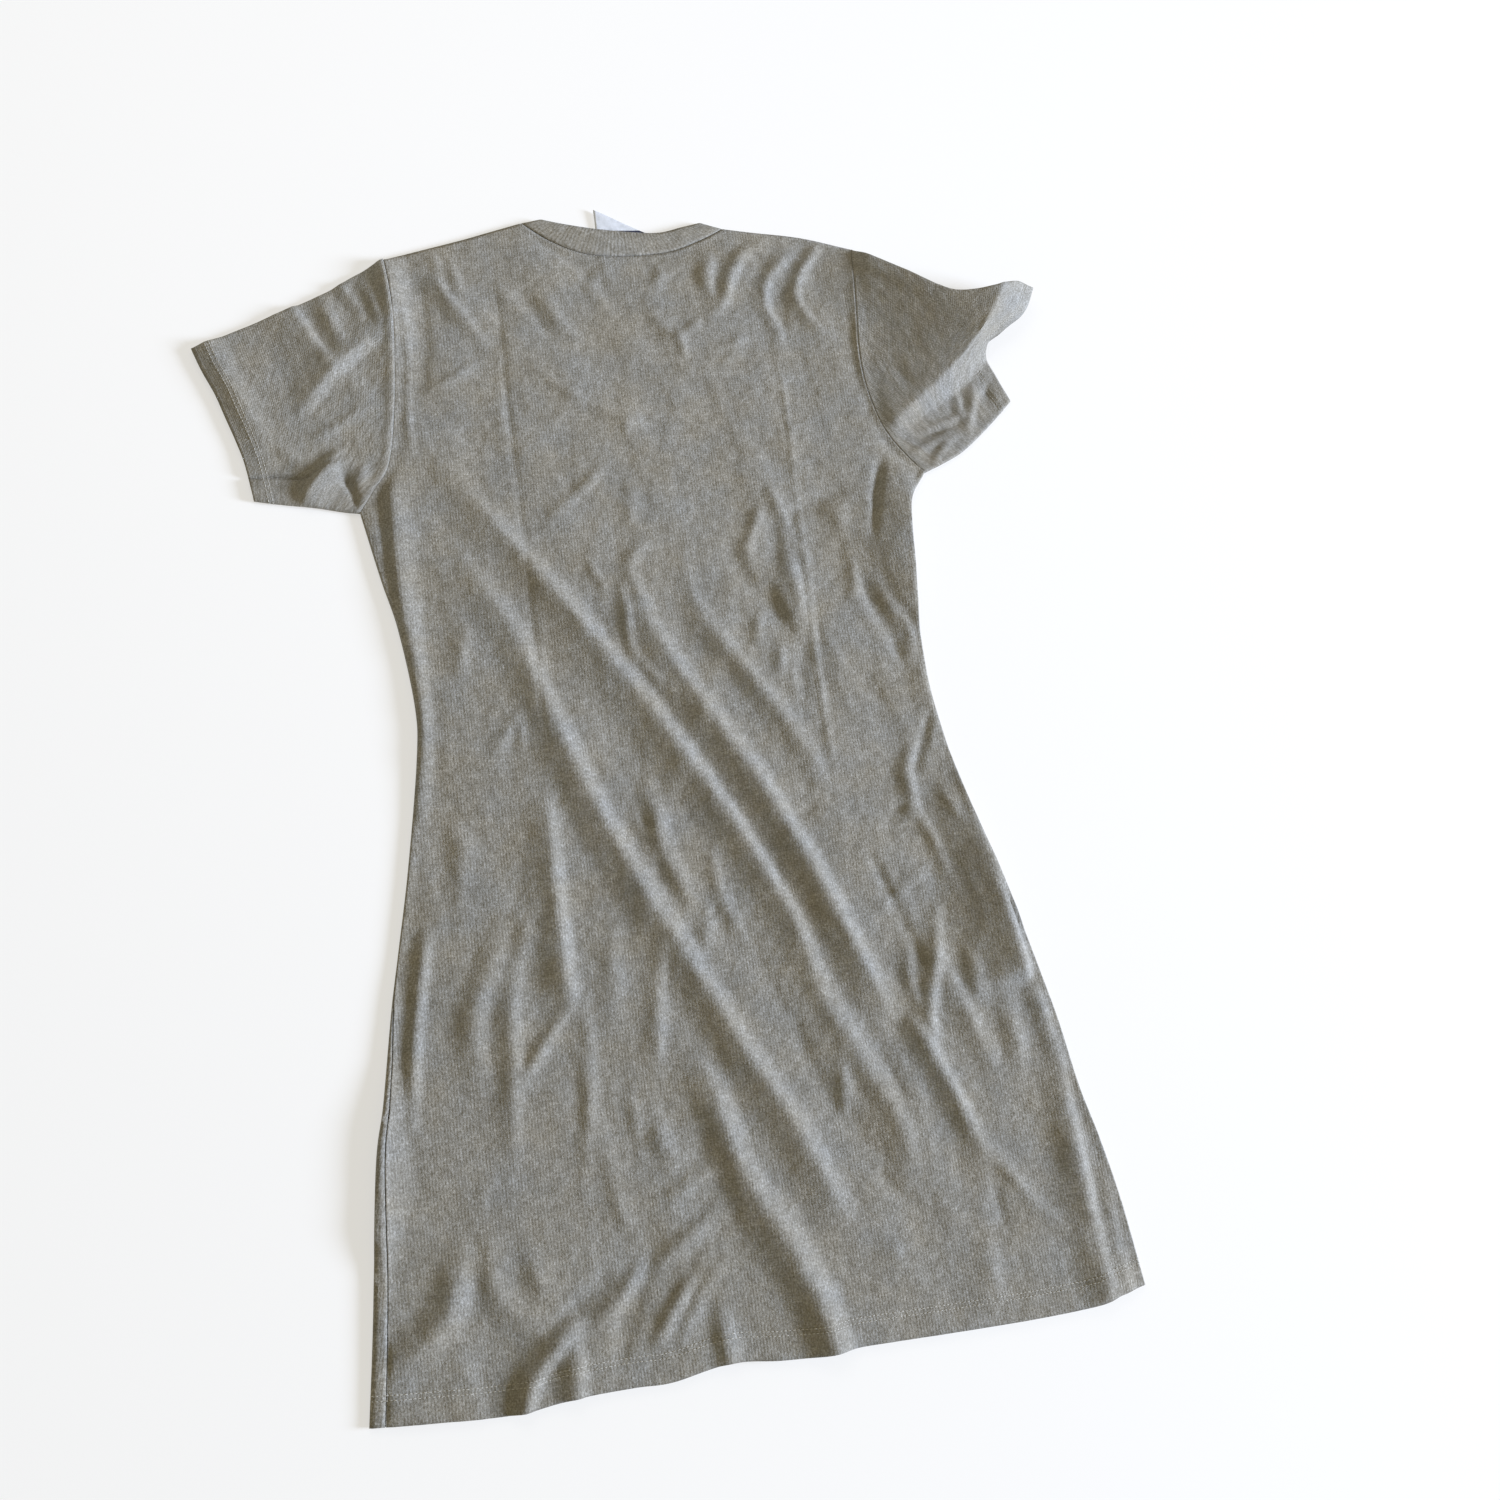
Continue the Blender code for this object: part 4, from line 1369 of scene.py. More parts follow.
# Creases of the skirt and its hem.
SKIRT_CREASES = creases(
    (14, 6, 0.7, (166, 292, 0), (161, 262, 4.1), (150, 225, 4.4), (145, 200, 4.1), (148, 178, 0)),
    (10, 5, 0.6, (140, 272, 0), (136, 240, 2.8), (138, 210, 0)),
    (16, 10, 0.4, (158, 262, 0), (168, 225, 3.2), (180, 190, 3.2), (192, 150, 0)),
    (14, 9, 0.4, (184, 262, 0), (186, 232, 2.5), (184, 200, 0)),
    (14, 9, 0.4, (206, 226, 0), (208, 190, 2.8), (206, 150, 0)),
    (16, 7, 0.7, (130, 216, 0), (136, 196, 4.8), (149, 166, 5.7), (160, 134, 5.7), (166, 112, 3.5),
     (176, 96, 0)),
    (8, 5, 0.6, (168, 122, 0), (182, 96, 2.8), (200, 68, 2.3), (222, 44, 0)),
    (8, 5, 0.5, (168, 92, 0), (174, 72, -1.9), (176, 50, 0)),
    (24, 8, 0.5, (240, 185, 0), (238, 150, 3.3), (238, 110, 5.6), (239, 80, 5.8), (240, 40, 4.5),
     (242, 0, 3.3), (242, -20, 2.5)),
    (34, 10, 0.4, (254, 40, 0), (254, 22, 2.3), (255, 4, 2.3), (256, -20, 0)),
    (8, 6, 0.5, (254, 95, 0), (256, 60, 2.5), (256, 25, 0)),
    (8, 5, 0.6, (44, 226, 0), (50, 192, -3.2), (64, 156, -2.3), (72, 140, 0)),
    (8, 6, 0.6, (74, 200, 0), (73, 165, 2.5), (68, 140, 0)),
    (7, 5, 0.6, (86, 110, 0), (98, 94, -2.5), (114, 78, 0)),
    (12, 10, 0.4, (142, 104, 0), (152, 92, -1.5), (164, 86, 0)),
    (9, 6, 0.5, (88, 60, 0), (92, 48, 1.9), (96, 38, 0)),
    (20, 12, 0.3, (160, 60, 0), (158, 30, 2.3), (162, 0, 0)),
    (20, 14, 0.4, (-200, 112, 0), (-207, 84, 4.4), (-216, 60, 5.2), (-236, 42, 4.3), (-262, 36, 0)),
    (16, 14, 0.4, (-186, 108, 0), (-186, 80, 3.5), (-178, 58, 3.7), (-160, 44, 3.2), (-140, 36, 0)),
    (22, 18, 0.3, (-196, 46, 0), (-188, 20, -3.7), (-184, -20, -3.7)),
    (7, 18, 0.6, (-176, -20, 5.6), (-168, 4, 6.2), (-152, 24, 6.2), (-136, 38, 5), (-130, 44, 0)),
    (16, 7, 0.5, (-134, 38, 0), (-136, 18, 4.4), (-138, -6, 4.8), (-138, -20, 4.8)),
    (7, 9, 0.5, (-158, 36, 0), (-140, 46, -3.2), (-122, 58, -2.5), (-104, 70, 0)),
    (8, 8, 0.5, (-130, 32, 0), (-112, 46, 3.2), (-92, 62, 3.2), (-78, 84, 0)),
    (9, 8, 0.5, (-112, 4, 0), (-100, 36, -4.4), (-88, 60, -3.7), (-78, 78, 0)),
    (8, 6, 0.7, (-88, 12, 0), (-74, 32, 3.7), (-58, 52, 3.7), (-42, 70, 0)),
    (8, 6, 0.7, (-70, 14, 0), (-56, 34, 2.8), (-44, 52, 2.5), (-34, 66, 0)),
    (9, 8, 0.5, (-86, 64, 0), (-66, 76, 3.2), (-44, 88, 3.2), (-24, 104, 0)),
    (9, 10, 0.4, (-66, 108, 0), (-46, 118, 3.2), (-22, 128, 0)),
    (12, 12, 0.4, (-66, 172, 0), (-62, 148, 3.2), (-50, 128, 0)),
    (8, 7, 0.5, (-82, 188, 0), (-78, 168, 2.3), (-80, 152, 0)),
    (9, 12, 0.4, (-38, 44, 0), (-36, 18, 3.5), (-36, -20, 3.5)),
    (9, 7, 0.5, (-100, 128, 0), (-96, 106, 2.3), (-84, 88, 0)),
    (10, 8, 0.5, (-160, 96, 0), (-156, 76, 2.3), (-146, 62, 0)),
)

# Faint straight creases that packing has left.
PACKING_CREASES = creases(
    (3, 3, 0.7, (-110, 850, 0), (-109, 800, -1.1), (-110, 700, -1.3), (-109, 600, -1.3),
     (-111, 500, -1.3), (-110, 420, 0)),
    (4, 3.5, 0.8, (113, 780, 0), (113, 700, 1.5), (110, 640, 1.5), (108, 560, 1.7), (104, 480, 2.2),
     (104, 340, 0)),
    (3, 3, 0.7, (-205, 397, 0), (-150, 397, -1.2), (-90, 398, -1.4), (-30, 397, 0)),
    (3, 4, 0.7, (66, 384, 0), (110, 382, -1.6), (168, 383, -1.2), (186, 384, 0)),
    (3, 3, 0.7, (-2, 362, 0), (12, 362, -1.2), (26, 361, 0)),
)

# Ridges that the seam allowances hold up along the armholes, in the panels and sleeves alike.
ARMHOLE_RIDGES = creases(
    (22, 21, 0.4, (-194, 856, 0, 22, 15), (-191, 840, 6.4, 22, 17), (-190, 812, 8, 22, 17),
     (-190, 783, 4.2, 22, 17), (-192, 755, 1.5, 22, 18), (-195, 722, 1, 22, 21),
     (-203, 674, 0.8, 22, 21), (-222, 644, 0, 22, 21)),
    (44, 130, 0.3, (192, 852, 0), (188, 814, 4), (184, 783, 3.8), (182, 752, 3.2), (183, 722, 2.2),
     (196, 674, 0.6), (216, 646, 0)),
)


def seam_level(plan: np.ndarray) -> np.ndarray:
    """Height of the back at each place where a sleeve, a shoulder or the neckband is sewn on."""
    return HIGH + sum(ridge.height(plan) for ridge in ARMHOLE_RIDGES)


@dataclass
class BackPanel(BodyPanel):
    """The back, on top of the front: it carries the large folds and shows every crease.

    Attributes:
        creases: Its creases.
        crumples: Its fine relief.
        front: The front, which it lies on.
        loft: How far it floats over the front between its seams.
        hem_depth: Depth of the hem at its left end and at its right one.
    """

    name: str = "back"
    replaced: str = "back_panel"
    creases: tuple[Crease, ...] = (
        *GREAT_FOLDS, *FLAPS, *SIDE_CREASES, *CHEST_CREASES, *MIDDLE_CREASES, *SKIRT_CREASES,
        *PACKING_CREASES,
    )
    crumples: tuple[Crumple, ...] = (
        Crumple(1.0, 30, 60, 20, 0.2, 7),
        Crumple(0.6, 13, 26, 22, 0.4, 19),
        Crumple(0.2, 7, 12, 10, 0.3, 23),
    )
    front: FrontPanel | None = None
    loft: float = 1.5
    hem_depth: tuple[float, float] = (20.0, 19.5)

    # How far in the sewn edges hold down the hem's relief, the loft and the cloth by a seam, how
    # the cloth's fall from a roll is shaped, the rise and dip of the hem, how far lines are
    # looked for, and the least length of cloth past a seam.
    HEM_HELD, LOFT_HELD, SEAM_HELD = 7.0, 9.0, 4.0
    FALL_SHAPE = 1.3
    HEM_RISE = HEM_DIP = 0.8
    REACH = 40.0
    LEAST_TURN = 0.8

    def relief(self, plan: np.ndarray) -> np.ndarray:
        """Rise of the creases and the crumple over level cloth at each place."""
        height = sum(crease.height(plan) for crease in self.creases + ARMHOLE_RIDGES)
        return height + sum(crumple.relief(plan) for crumple in self.crumples)

    def level(self, plan: np.ndarray) -> np.ndarray:
        """Height of the cloth between its rolled edges.

        Args:
            plan: Plan places, one a row.

        Returns:
            One height for each place.
        """
        lying = ON_FRONT + self.front.relief(plan)
        loft = self.loft * (1 - self.pattern.rim(plan, self.LOFT_HELD))
        height = np.maximum(lying + loft + self.relief(plan), lying)
        sides = (self.pattern.side_left, LEFT_EDGE), (self.pattern.side_right, RIGHT_EDGE)
        for line, edge in sides:
            away = np.abs(line.nearest(plan, self.REACH)[0])
            radius, over, fall = (
                np.interp(plan[:, 1], edge.heights, values)
                for values in (edge.radius, edge.over, edge.fall)
            )
            inset = np.maximum(over - math.pi * radius / 2, 0) + edge.WIDEST
            share = np.clip(1 - np.maximum(away - inset, 0) / fall, 0, 1) ** self.FALL_SHAPE
            height = np.maximum(height, lying + (LOW + 2 * radius - lying) * share)
        seam = np.exp(-((self.seam_distance(plan) / self.SEAM_HELD) ** 2))
        height = height * (1 - seam) + seam_level(plan) * seam
        return height + self.hem_relief(plan) * (1 - self.pattern.rim(plan, self.HEM_HELD))

    def seam_distance(self, plan: np.ndarray) -> np.ndarray:
        """Distance of each place from the seams at the armholes, shoulders and neck."""
        seams = self.pattern.sewn_above()
        return np.min([np.abs(line.nearest(plan, 30.0)[0]) for line in seams], axis=0)

    def hem_relief(self, plan: np.ndarray) -> np.ndarray:
        """Doubled cloth of the hem at each place, dipping along the stitching at its top."""
        offset, share = self.pattern.hem.nearest(plan, self.REACH)
        past = np.abs(offset) - np.interp(share, (0, 1), self.hem_depth)
        return hem_step(past, self.HEM_RISE, self.HEM_DIP)

    def arcs(self, edge: RolledEdge, y: float) -> np.ndarray:
        """Where the points of a rolled edge are along the cloth, from just over the seam."""
        start, end = edge.seam(y) + self.seam_gap / 2, math.pi * edge.roll(y)
        return start + np.linspace(0, 1, self.curl + 1) * max(end - start, self.LEAST_TURN)

    def sewn_level(self, edge: RolledEdge, up: float) -> float:
        """Height of the panel's edge above the armpit, which follows the armhole's ridge."""
        outline = self.pattern.left() if edge.side is Side.LEFT else self.pattern.right()
        return float(seam_level(outline(up)[None])[0])

    def finished(self, across: np.ndarray, heights: np.ndarray) -> np.ndarray:
        """Heights after the shoulders have come down to their seams.

        Args:
            across: Share across of each place, rows by columns.
            heights: Height of each place, rows by columns.

        Returns:
            The heights.
        """
        shoulder = self.on_shoulder(across)
        shoulder[[0, -1]] = True
        heights[-1] = np.where(shoulder, MIDDLE + self.seam_gap / 2, HIGH)
        return heights


# ------------------------------------------------------------------ sleeves, neckband, label


# Creases of the left sleeve's upper layer.
LEFT_SLEEVE_CREASES = creases(
    (15, 15, 0.5, (-336, 800, 0), (-329, 780, 3.4), (-314, 742, 4.6), (-299, 705, 3),
     (-292, 676, 0.8), (-288, 660, 0)),
    (36, 6, 0.4, (-268, 814, 2), (-259, 792, 5), (-246, 768, 4.4), (-240, 756, 1), (-236, 748, 0)),
    (12, 8, 0.5, (-246, 822, 0), (-240, 803, 3.6), (-235, 788, 3.4), (-230, 774, 0)),
    (24, 9, 0.5, (-200, 788, 0), (-212, 778, 3.6), (-224, 768, 5.4), (-240, 752, 5.4),
     (-256, 733, 4), (-270, 716, 0)),
    (14, 12, 0.3, (-246, 772, 0), (-236, 754, 2), (-222, 738, 1.6), (-205, 715, 0)),
    (10, 7, 0.5, (-232, 836, 0), (-226, 822, 2.4), (-216, 806, 2), (-206, 782, 0)),
    (10, 7, 0.5, (-214, 838, 0), (-208, 820, 2.6), (-203, 800, 2.4), (-200, 780, 0)),
    (8, 6, 0.5, (-214, 724, 0), (-228, 714, 1.6), (-250, 700, 1.6), (-266, 694, 0)),
    (9, 8, 0.4, (-290, 696, 0), (-276, 684, 1.6), (-262, 668, 0)),
    (3, 3, 0.3, (-306, 668, -3.2), (-290, 667.5, -3), (-265, 665.5, -2.6), (-250, 674, -2),
     (-232, 684, 0)),
    (11, 19, 0.5, (-236, 688, 0), (-249, 671, 7.4), (-263, 654, 6.8), (-270, 640, 0)),
    (5, 6, 0.4, (-242, 676, 0), (-237, 662, -3.4), (-232, 648, -3.8), (-228, 634, -3.8)),
    (12, 8, 0.4, (-222, 678, 0), (-225, 664, 3), (-222, 650, 0)),
)

# Creases of the right sleeve's upper layer.
RIGHT_SLEEVE_CREASES = creases(
    (8, 5, 0.6, (262, 684, 0), (238, 678, -2.2), (214, 673, -1.8), (200, 668, 0)),
    (6, 5, 0.6, (266, 692, 0), (246, 685, 1.8), (222, 676, 1.4), (204, 668, 0)),
    (6, 5, 0.6, (252, 678, 0), (236, 669, 2), (216, 660, 2), (204, 656, 0)),
    (6, 5, 0.6, (262, 676, 0), (246, 668, 2), (234, 655, 2), (226, 644, 0)),
    (9, 7, 0.5, (276, 722, 0), (274, 705, 2.4), (268, 688, 2.4), (262, 670, 0)),
    (8, 6, 0.5, (262, 714, 0), (260, 700, 1.6), (262, 684, 0)),
    (8, 10, 0.4, (296, 722, 0), (288, 712, -2), (284, 696, 0)),
    (8, 6, 0.5, (282, 748, 0), (276, 734, 2), (266, 722, 0)),
    (9, 6, 0.5, (334, 812, 0), (326, 800, 1.6), (318, 790, 0)),
    (10, 9, 0.4, (225, 712, 0), (215, 724, -1.6), (206, 750, 0)),
)

# The tall buckle that the right sleeve is pushed up into.
SLEEVE_BUCKLE = Crease(
    175, 50, 0.6, (323, 822, 33, 175, 50), (312, 802, 35, 175, 50), (300, 781, 34, 170, 42),
    (287, 761, 30, 160, 20), (272, 744, 23.5, 142, 19), (255, 728, 17.5, 114, 18),
    (237, 713.5, 12.5, 84, 16), (218, 699.5, 8.5, 58, 14), (199, 686, 4.5, 34, 12),
    (188, 678, 0, 24, 10),
)


@dataclass
class Sleeve:
    """A short set-in sleeve, lying as a flattened tube from the armhole to the cuff.

    Attributes:
        side: Which armhole it is on.
        armhole: Seam, followed upwards.
        top_fold: Upper fold, from the armhole out.
        cuff: Cuff, from the upper fold to the lower one.
        under_fold: Lower fold, from the armhole out.
        creases: Creases of the upper layer.
        buckle: Tall buckle that lifts both layers.
        crumples: Fine relief.
        around: Cells from fold to fold.
        along: Cells from the armhole to the cuff.
        hem_depth: Depth of the cuff's hem.
        allowance: How far the seam allowance lifts the sleeve beside the armhole.
        seam_gap: Gap between the sleeve and the body at their seam.
        curl: Cells round a fold.
    """

    side: Side
    armhole: Line
    top_fold: Line
    cuff: Line
    under_fold: Line
    creases: tuple[Crease, ...] = ()
    buckle: Crease | None = None
    crumples: tuple[Crumple, ...] = ()
    around: int = 84
    along: int = 60
    hem_depth: float = 15.0
    allowance: float = 0.8
    seam_gap: float = 0.35
    curl: int = 4

    # How far out the armhole's seam holds the cloth, where the allowance under it lies and how
    # wide it is, the rise and dip of the hem, and how far lines are looked for.
    HELD = 7.0
    ALLOWANCE_AT, ALLOWANCE_WIDTH, ALLOWANCE_FROM = 3.5, 3.0, 0.5
    HEM_RISE, HEM_DIP = 0.5, 0.45
    REACH = 40.0

    @property
    def name(self) -> str:
        """Name of the piece."""
        return f"sleeve_on_{self.side.value}"

    def ring(self, width: float) -> tuple[np.ndarray, np.ndarray, np.ndarray]:
        """One turn round the tube: over the upper layer and back under it.

        Args:
            width: Width from fold to fold there.

        Returns:
            Shares across, heights, and 1 on the upper layer to 0 on the lower one.
        """
        turns = np.linspace(math.pi / 2, math.pi, self.curl + 1)
        arc = ROLL * (1 - np.sin(turns)) / width
        rise = LOW + ROLL * (1 - np.cos(turns))
        inner = np.linspace(arc[-1], 1 - arc[-1], self.around + 1)[1:-1]
        upper = np.concatenate([arc, inner, 1 - arc[::-1]])
        high = np.concatenate([rise, np.full(len(inner), HIGH), rise[::-1]])
        lower, low = upper[-2::-1], 2 * MIDDLE - high[-2::-1]
        shares = np.concatenate([upper, lower])
        heights = np.concatenate([high, low])
        return shares, heights, (heights - LOW) / (HIGH - LOW)

    def seam(self, share: np.ndarray | float) -> np.ndarray:
        """Plan places at shares of the armhole seam, followed downwards."""
        return self.armhole(1 - np.asarray(share))[..., :2]

    def grid(self) -> ClothGrid:
        """Sets the sleeve out.

        Returns:
            The sleeve as a closed grid of places.
        """
        places, uppers, cut = [], [], []
        for down in np.linspace(0, 1, self.along + 1):
            ends = self.top_fold(down)[:2], self.under_fold(down)[:2]
            shares, heights, upper = self.ring(float(np.linalg.norm(ends[1] - ends[0])))
            downs = np.full(len(shares), down)
            plan = patch(self.top_fold, self.under_fold, self.seam, self.cuff, shares, downs)
            places.append(np.concatenate([plan, heights[:, None]], axis=-1))
            uppers.append(upper)
            steps = np.linalg.norm(np.diff(plan, axis=0), axis=1)
            turn = np.concatenate([[0], np.cumsum(steps)])
            cut.append(np.stack([turn, -downs * self.top_fold.length], axis=-1))
        places = np.array(places)
        out = places[1, :, :2] - places[0, :, :2]
        places[0, :, :2] += out / np.linalg.norm(out, axis=1)[:, None] * self.seam_gap
        lifted, raised = self.rises(places[..., :2].reshape(-1, 2))
        lifted, raised = (rise.reshape(places.shape[:2]) for rise in (lifted, raised))
        places[..., 2] += lifted + np.array(uppers) * raised
        places[..., 2] = np.maximum(places[..., 2], LOW + lifted)
        return ClothGrid(places, np.array(cut), closed=True)

    def rises(self, plan: np.ndarray) -> tuple[np.ndarray, np.ndarray]:
        """What the sleeve's shape adds to its flat tube.

        Args:
            plan: Plan places, one a row.

        Returns:
            The rise of both layers at each place, and the further rise of the upper one.
        """
        both = self.buckle.height(plan) if self.buckle else np.zeros(len(plan))
        top = sum((crease.height(plan) for crease in self.creases), np.zeros(len(plan)))
        top = top + sum(crumple.relief(plan) for crumple in self.crumples)
        away = np.abs(self.armhole.nearest(plan, self.REACH)[0])
        sewn = 1 - np.exp(-((away / self.HELD) ** 2))
        spread = np.exp(-(((away - self.ALLOWANCE_AT) / self.ALLOWANCE_WIDTH) ** 2))
        allowance = self.allowance * spread * (away > self.ALLOWANCE_FROM)
        upper = (top + self.hem_relief(plan)) * sewn + allowance + (seam_level(plan) - HIGH)
        return both * sewn, upper

    def hem_relief(self, plan: np.ndarray) -> np.ndarray:
        """The doubled cloth of the cuff at each place, with the dip of its stitching."""
        away = np.abs(self.cuff.nearest(plan, self.REACH)[0])
        return hem_step(away - self.hem_depth, self.HEM_RISE, self.HEM_DIP)

    def build(self, material: Material) -> LaidCloth:
        """Makes the sleeve and hides the CAD part that it stands for.

        Args:
            material: Its finish.

        Returns:
            The sleeve as it lies.
        """
        grid = self.grid()
        made = grid.object(self.name, CLOTH, material)
        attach(made, "root")
        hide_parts(f"sleeve_{self.side.value}")
        size = (grid.cut[..., 0].max() * MM, self.top_fold.length * MM)
        LOG.info("%s: cloth %.4f m2", self.name, grid.area())
        return LaidCloth(made, grid, size, grid.area())


def sleeves(pattern: Pattern) -> tuple[Sleeve, Sleeve]:
    """The two sleeves: the left one flat, the right one pushed up into a tall buckle.

    Args:
        pattern: Outlines.

    Returns:
        Left and right sleeve.
    """
    left = Sleeve(
        Side.LEFT,
        pattern.armhole_left,
        top_fold=Line(
            (-194, 850), (-205, 843), (-220, 834.5), (-240, 822), (-290, 799), (-342, 777)
        ),
        cuff=Line(
            (-342, 777), (-336, 760), (-327.5, 740), (-321, 720), (-314.5, 700), (-309, 680),
            (-304, 650),
        ),
        under_fold=Line((-228, 635), (-240, 637), (-257, 641), (-290, 647), (-304, 650)),
        creases=LEFT_SLEEVE_CREASES,
        crumples=(Crumple(0.5, 22, 34, 20, 0.3, 61), Crumple(0.2, 9, 13, 15, 0.3, 62)),
    )
    right = Sleeve(
        Side.RIGHT,
        pattern.armhole_right,
        top_fold=Line(
            (192, 850), (228, 821), (254, 799.5), (272, 791), (300, 791.5), (322, 798), (343, 801)
        ),
        cuff=Line((343, 801), (331, 779), (308, 762), (292, 749), (299, 724), (307, 702)),
        under_fold=Line((220, 642), (239, 650), (258, 660), (283, 680), (307, 702)),
        creases=RIGHT_SLEEVE_CREASES,
        buckle=SLEEVE_BUCKLE,
        crumples=(Crumple(0.5, 22, 34, 20, 0.3, 71), Crumple(0.2, 9, 13, 15, 0.3, 72)),
        along=80,
        allowance=0.2,
    )
    return left, right


@dataclass
class Neckband:
    """The ribbed band of the neck: its back half on top, its deeper front half underneath.

    Attributes:
        pattern: Outlines.
        around: Cells along each half.
        rows: Cells across the band.
        wall: Thickness of the doubled rib.
        width: Width of the band on the cut.
        seam_gap: Gap between the band and the body at their seam.
        front_rise: How far the front half lies over the front panel's level.
        crown: How far the middle of the back half stands up.
    """

    pattern: Pattern
    around: int = 90
    rows: int = 8
    wall: float = 1.7
    width: float = 20.0
    seam_gap: float = 0.5
    front_rise: float = 0.3
    crown: float = 0.5

    # How flat the band is on top, from 1 for a half round to 0 for level.
    ROUND = 0.6

    def grid(self) -> ClothGrid:
        """Sets the band out.

        Returns:
            The band as a closed grid of places.
        """
        pattern, shares = self.pattern, np.linspace(0, 1, self.around + 1)
        back = slice(None)
        front = slice(-2, None, -1)
        halves = (
            (pattern.back_neck_seam, pattern.back_neck_edge, HIGH, back),
            (pattern.front_neck_seam, pattern.front_neck_edge, LOW + self.front_rise, front),
        )
        seam = np.concatenate([line(shares)[part] for line, _, _, part in halves])
        edge = np.concatenate([line(shares)[part] for _, line, _, part in halves])
        level = np.concatenate([np.full(len(shares[part]), rise) for _, _, rise, part in halves])
        for end in (0, self.around, -1):
            level[end] += MIDDLE - level[end]
        for beside in (1, self.around - 1, -2):
            level[beside] += (MIDDLE - level[beside]) / 2
        gap = self.seam_gap / np.linalg.norm(edge - seam, axis=1)
        rows = []
        for share in np.arange(self.rows + 1) / self.rows:
            plan = seam + (edge - seam) * (gap + (1 - gap) * share)[:, None]
            crown = self.crown * math.sin(math.pi * share) ** self.ROUND
            rows.append(np.concatenate([plan, (level + crown * (level > MIDDLE))[:, None]], axis=1))
        steps = np.linalg.norm(np.diff(edge, axis=0), axis=1)
        along = np.concatenate([[0], np.cumsum(steps)])
        across = np.linspace(0, self.width, self.rows + 1)
        cut = np.stack(np.meshgrid(along, across), axis=-1)
        return ClothGrid(np.array(rows), cut, closed=True)

    def build(self, material: Material) -> Object:
        """Makes the band and hides the CAD part that it stands for.

        Args:
            material: Its finish.

        Returns:
            The band's object.
        """
        grid = self.grid()
        made = grid.object("neck_rib", self.wall, material)
        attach(made, "root")
        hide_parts("neckband")
        LOG.info("neck_rib: cloth %.4f m2", grid.area())
        return made


@dataclass
class NeckLabel:
    """A blank ribbon label, caught in the neck seam under the back band, a slanting end out of it.

    Attributes:
        corners: Plan places of its lower left, lower right, upper left and upper right corner.
        cells: Cells each way.
        wall: Thickness of the folded ribbon.
        level: Height of its middle surface at the seam.
        lift: How far its free left corner stands up.
        wave: How far its free end waves.
        waves: Waves across it, in radians.
    """

    corners: tuple[tuple[float, float], ...] = ((-22, 853), (19, 853), (-22, 893), (19, 871))
    cells: int = 24
    wall: float = 0.7
    level: float = 1.3
    lift: float = 0.7
    wave: float = 0.4
    waves: float = 5.0

    def build(self, material: Material) -> Object:
        """Makes the label and hides the CAD part that it stands for.

        Args:
            material: Its finish.

        Returns:
            The label's object.
        """
        low_left, low_right, top_left, top_right = np.array(self.corners, float)
        shares = np.linspace(0, 1, self.cells + 1)
        across, up = np.meshgrid(shares, shares)
        low = low_left + (low_right - low_left) * across[..., None]
        top = top_left + (top_right - top_left) * across[..., None]
        plan = low + (top - low) * up[..., None]
        past = np.clip(up - 0.5, 0, 1) * 2
        wavy = self.wave * np.sin(across * self.waves + 1)
        height = self.level + self.lift * past * (1 - across) + wavy * past
        grid = ClothGrid(np.concatenate([plan, height[..., None]], axis=-1), plan)
        made = grid.object("label", self.wall, material)
        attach(made, "root")
        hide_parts("neck_label")
        LOG.info("label: cloth %.4f m2", grid.area())
        return made


# ------------------------------------------------------------------ stitching


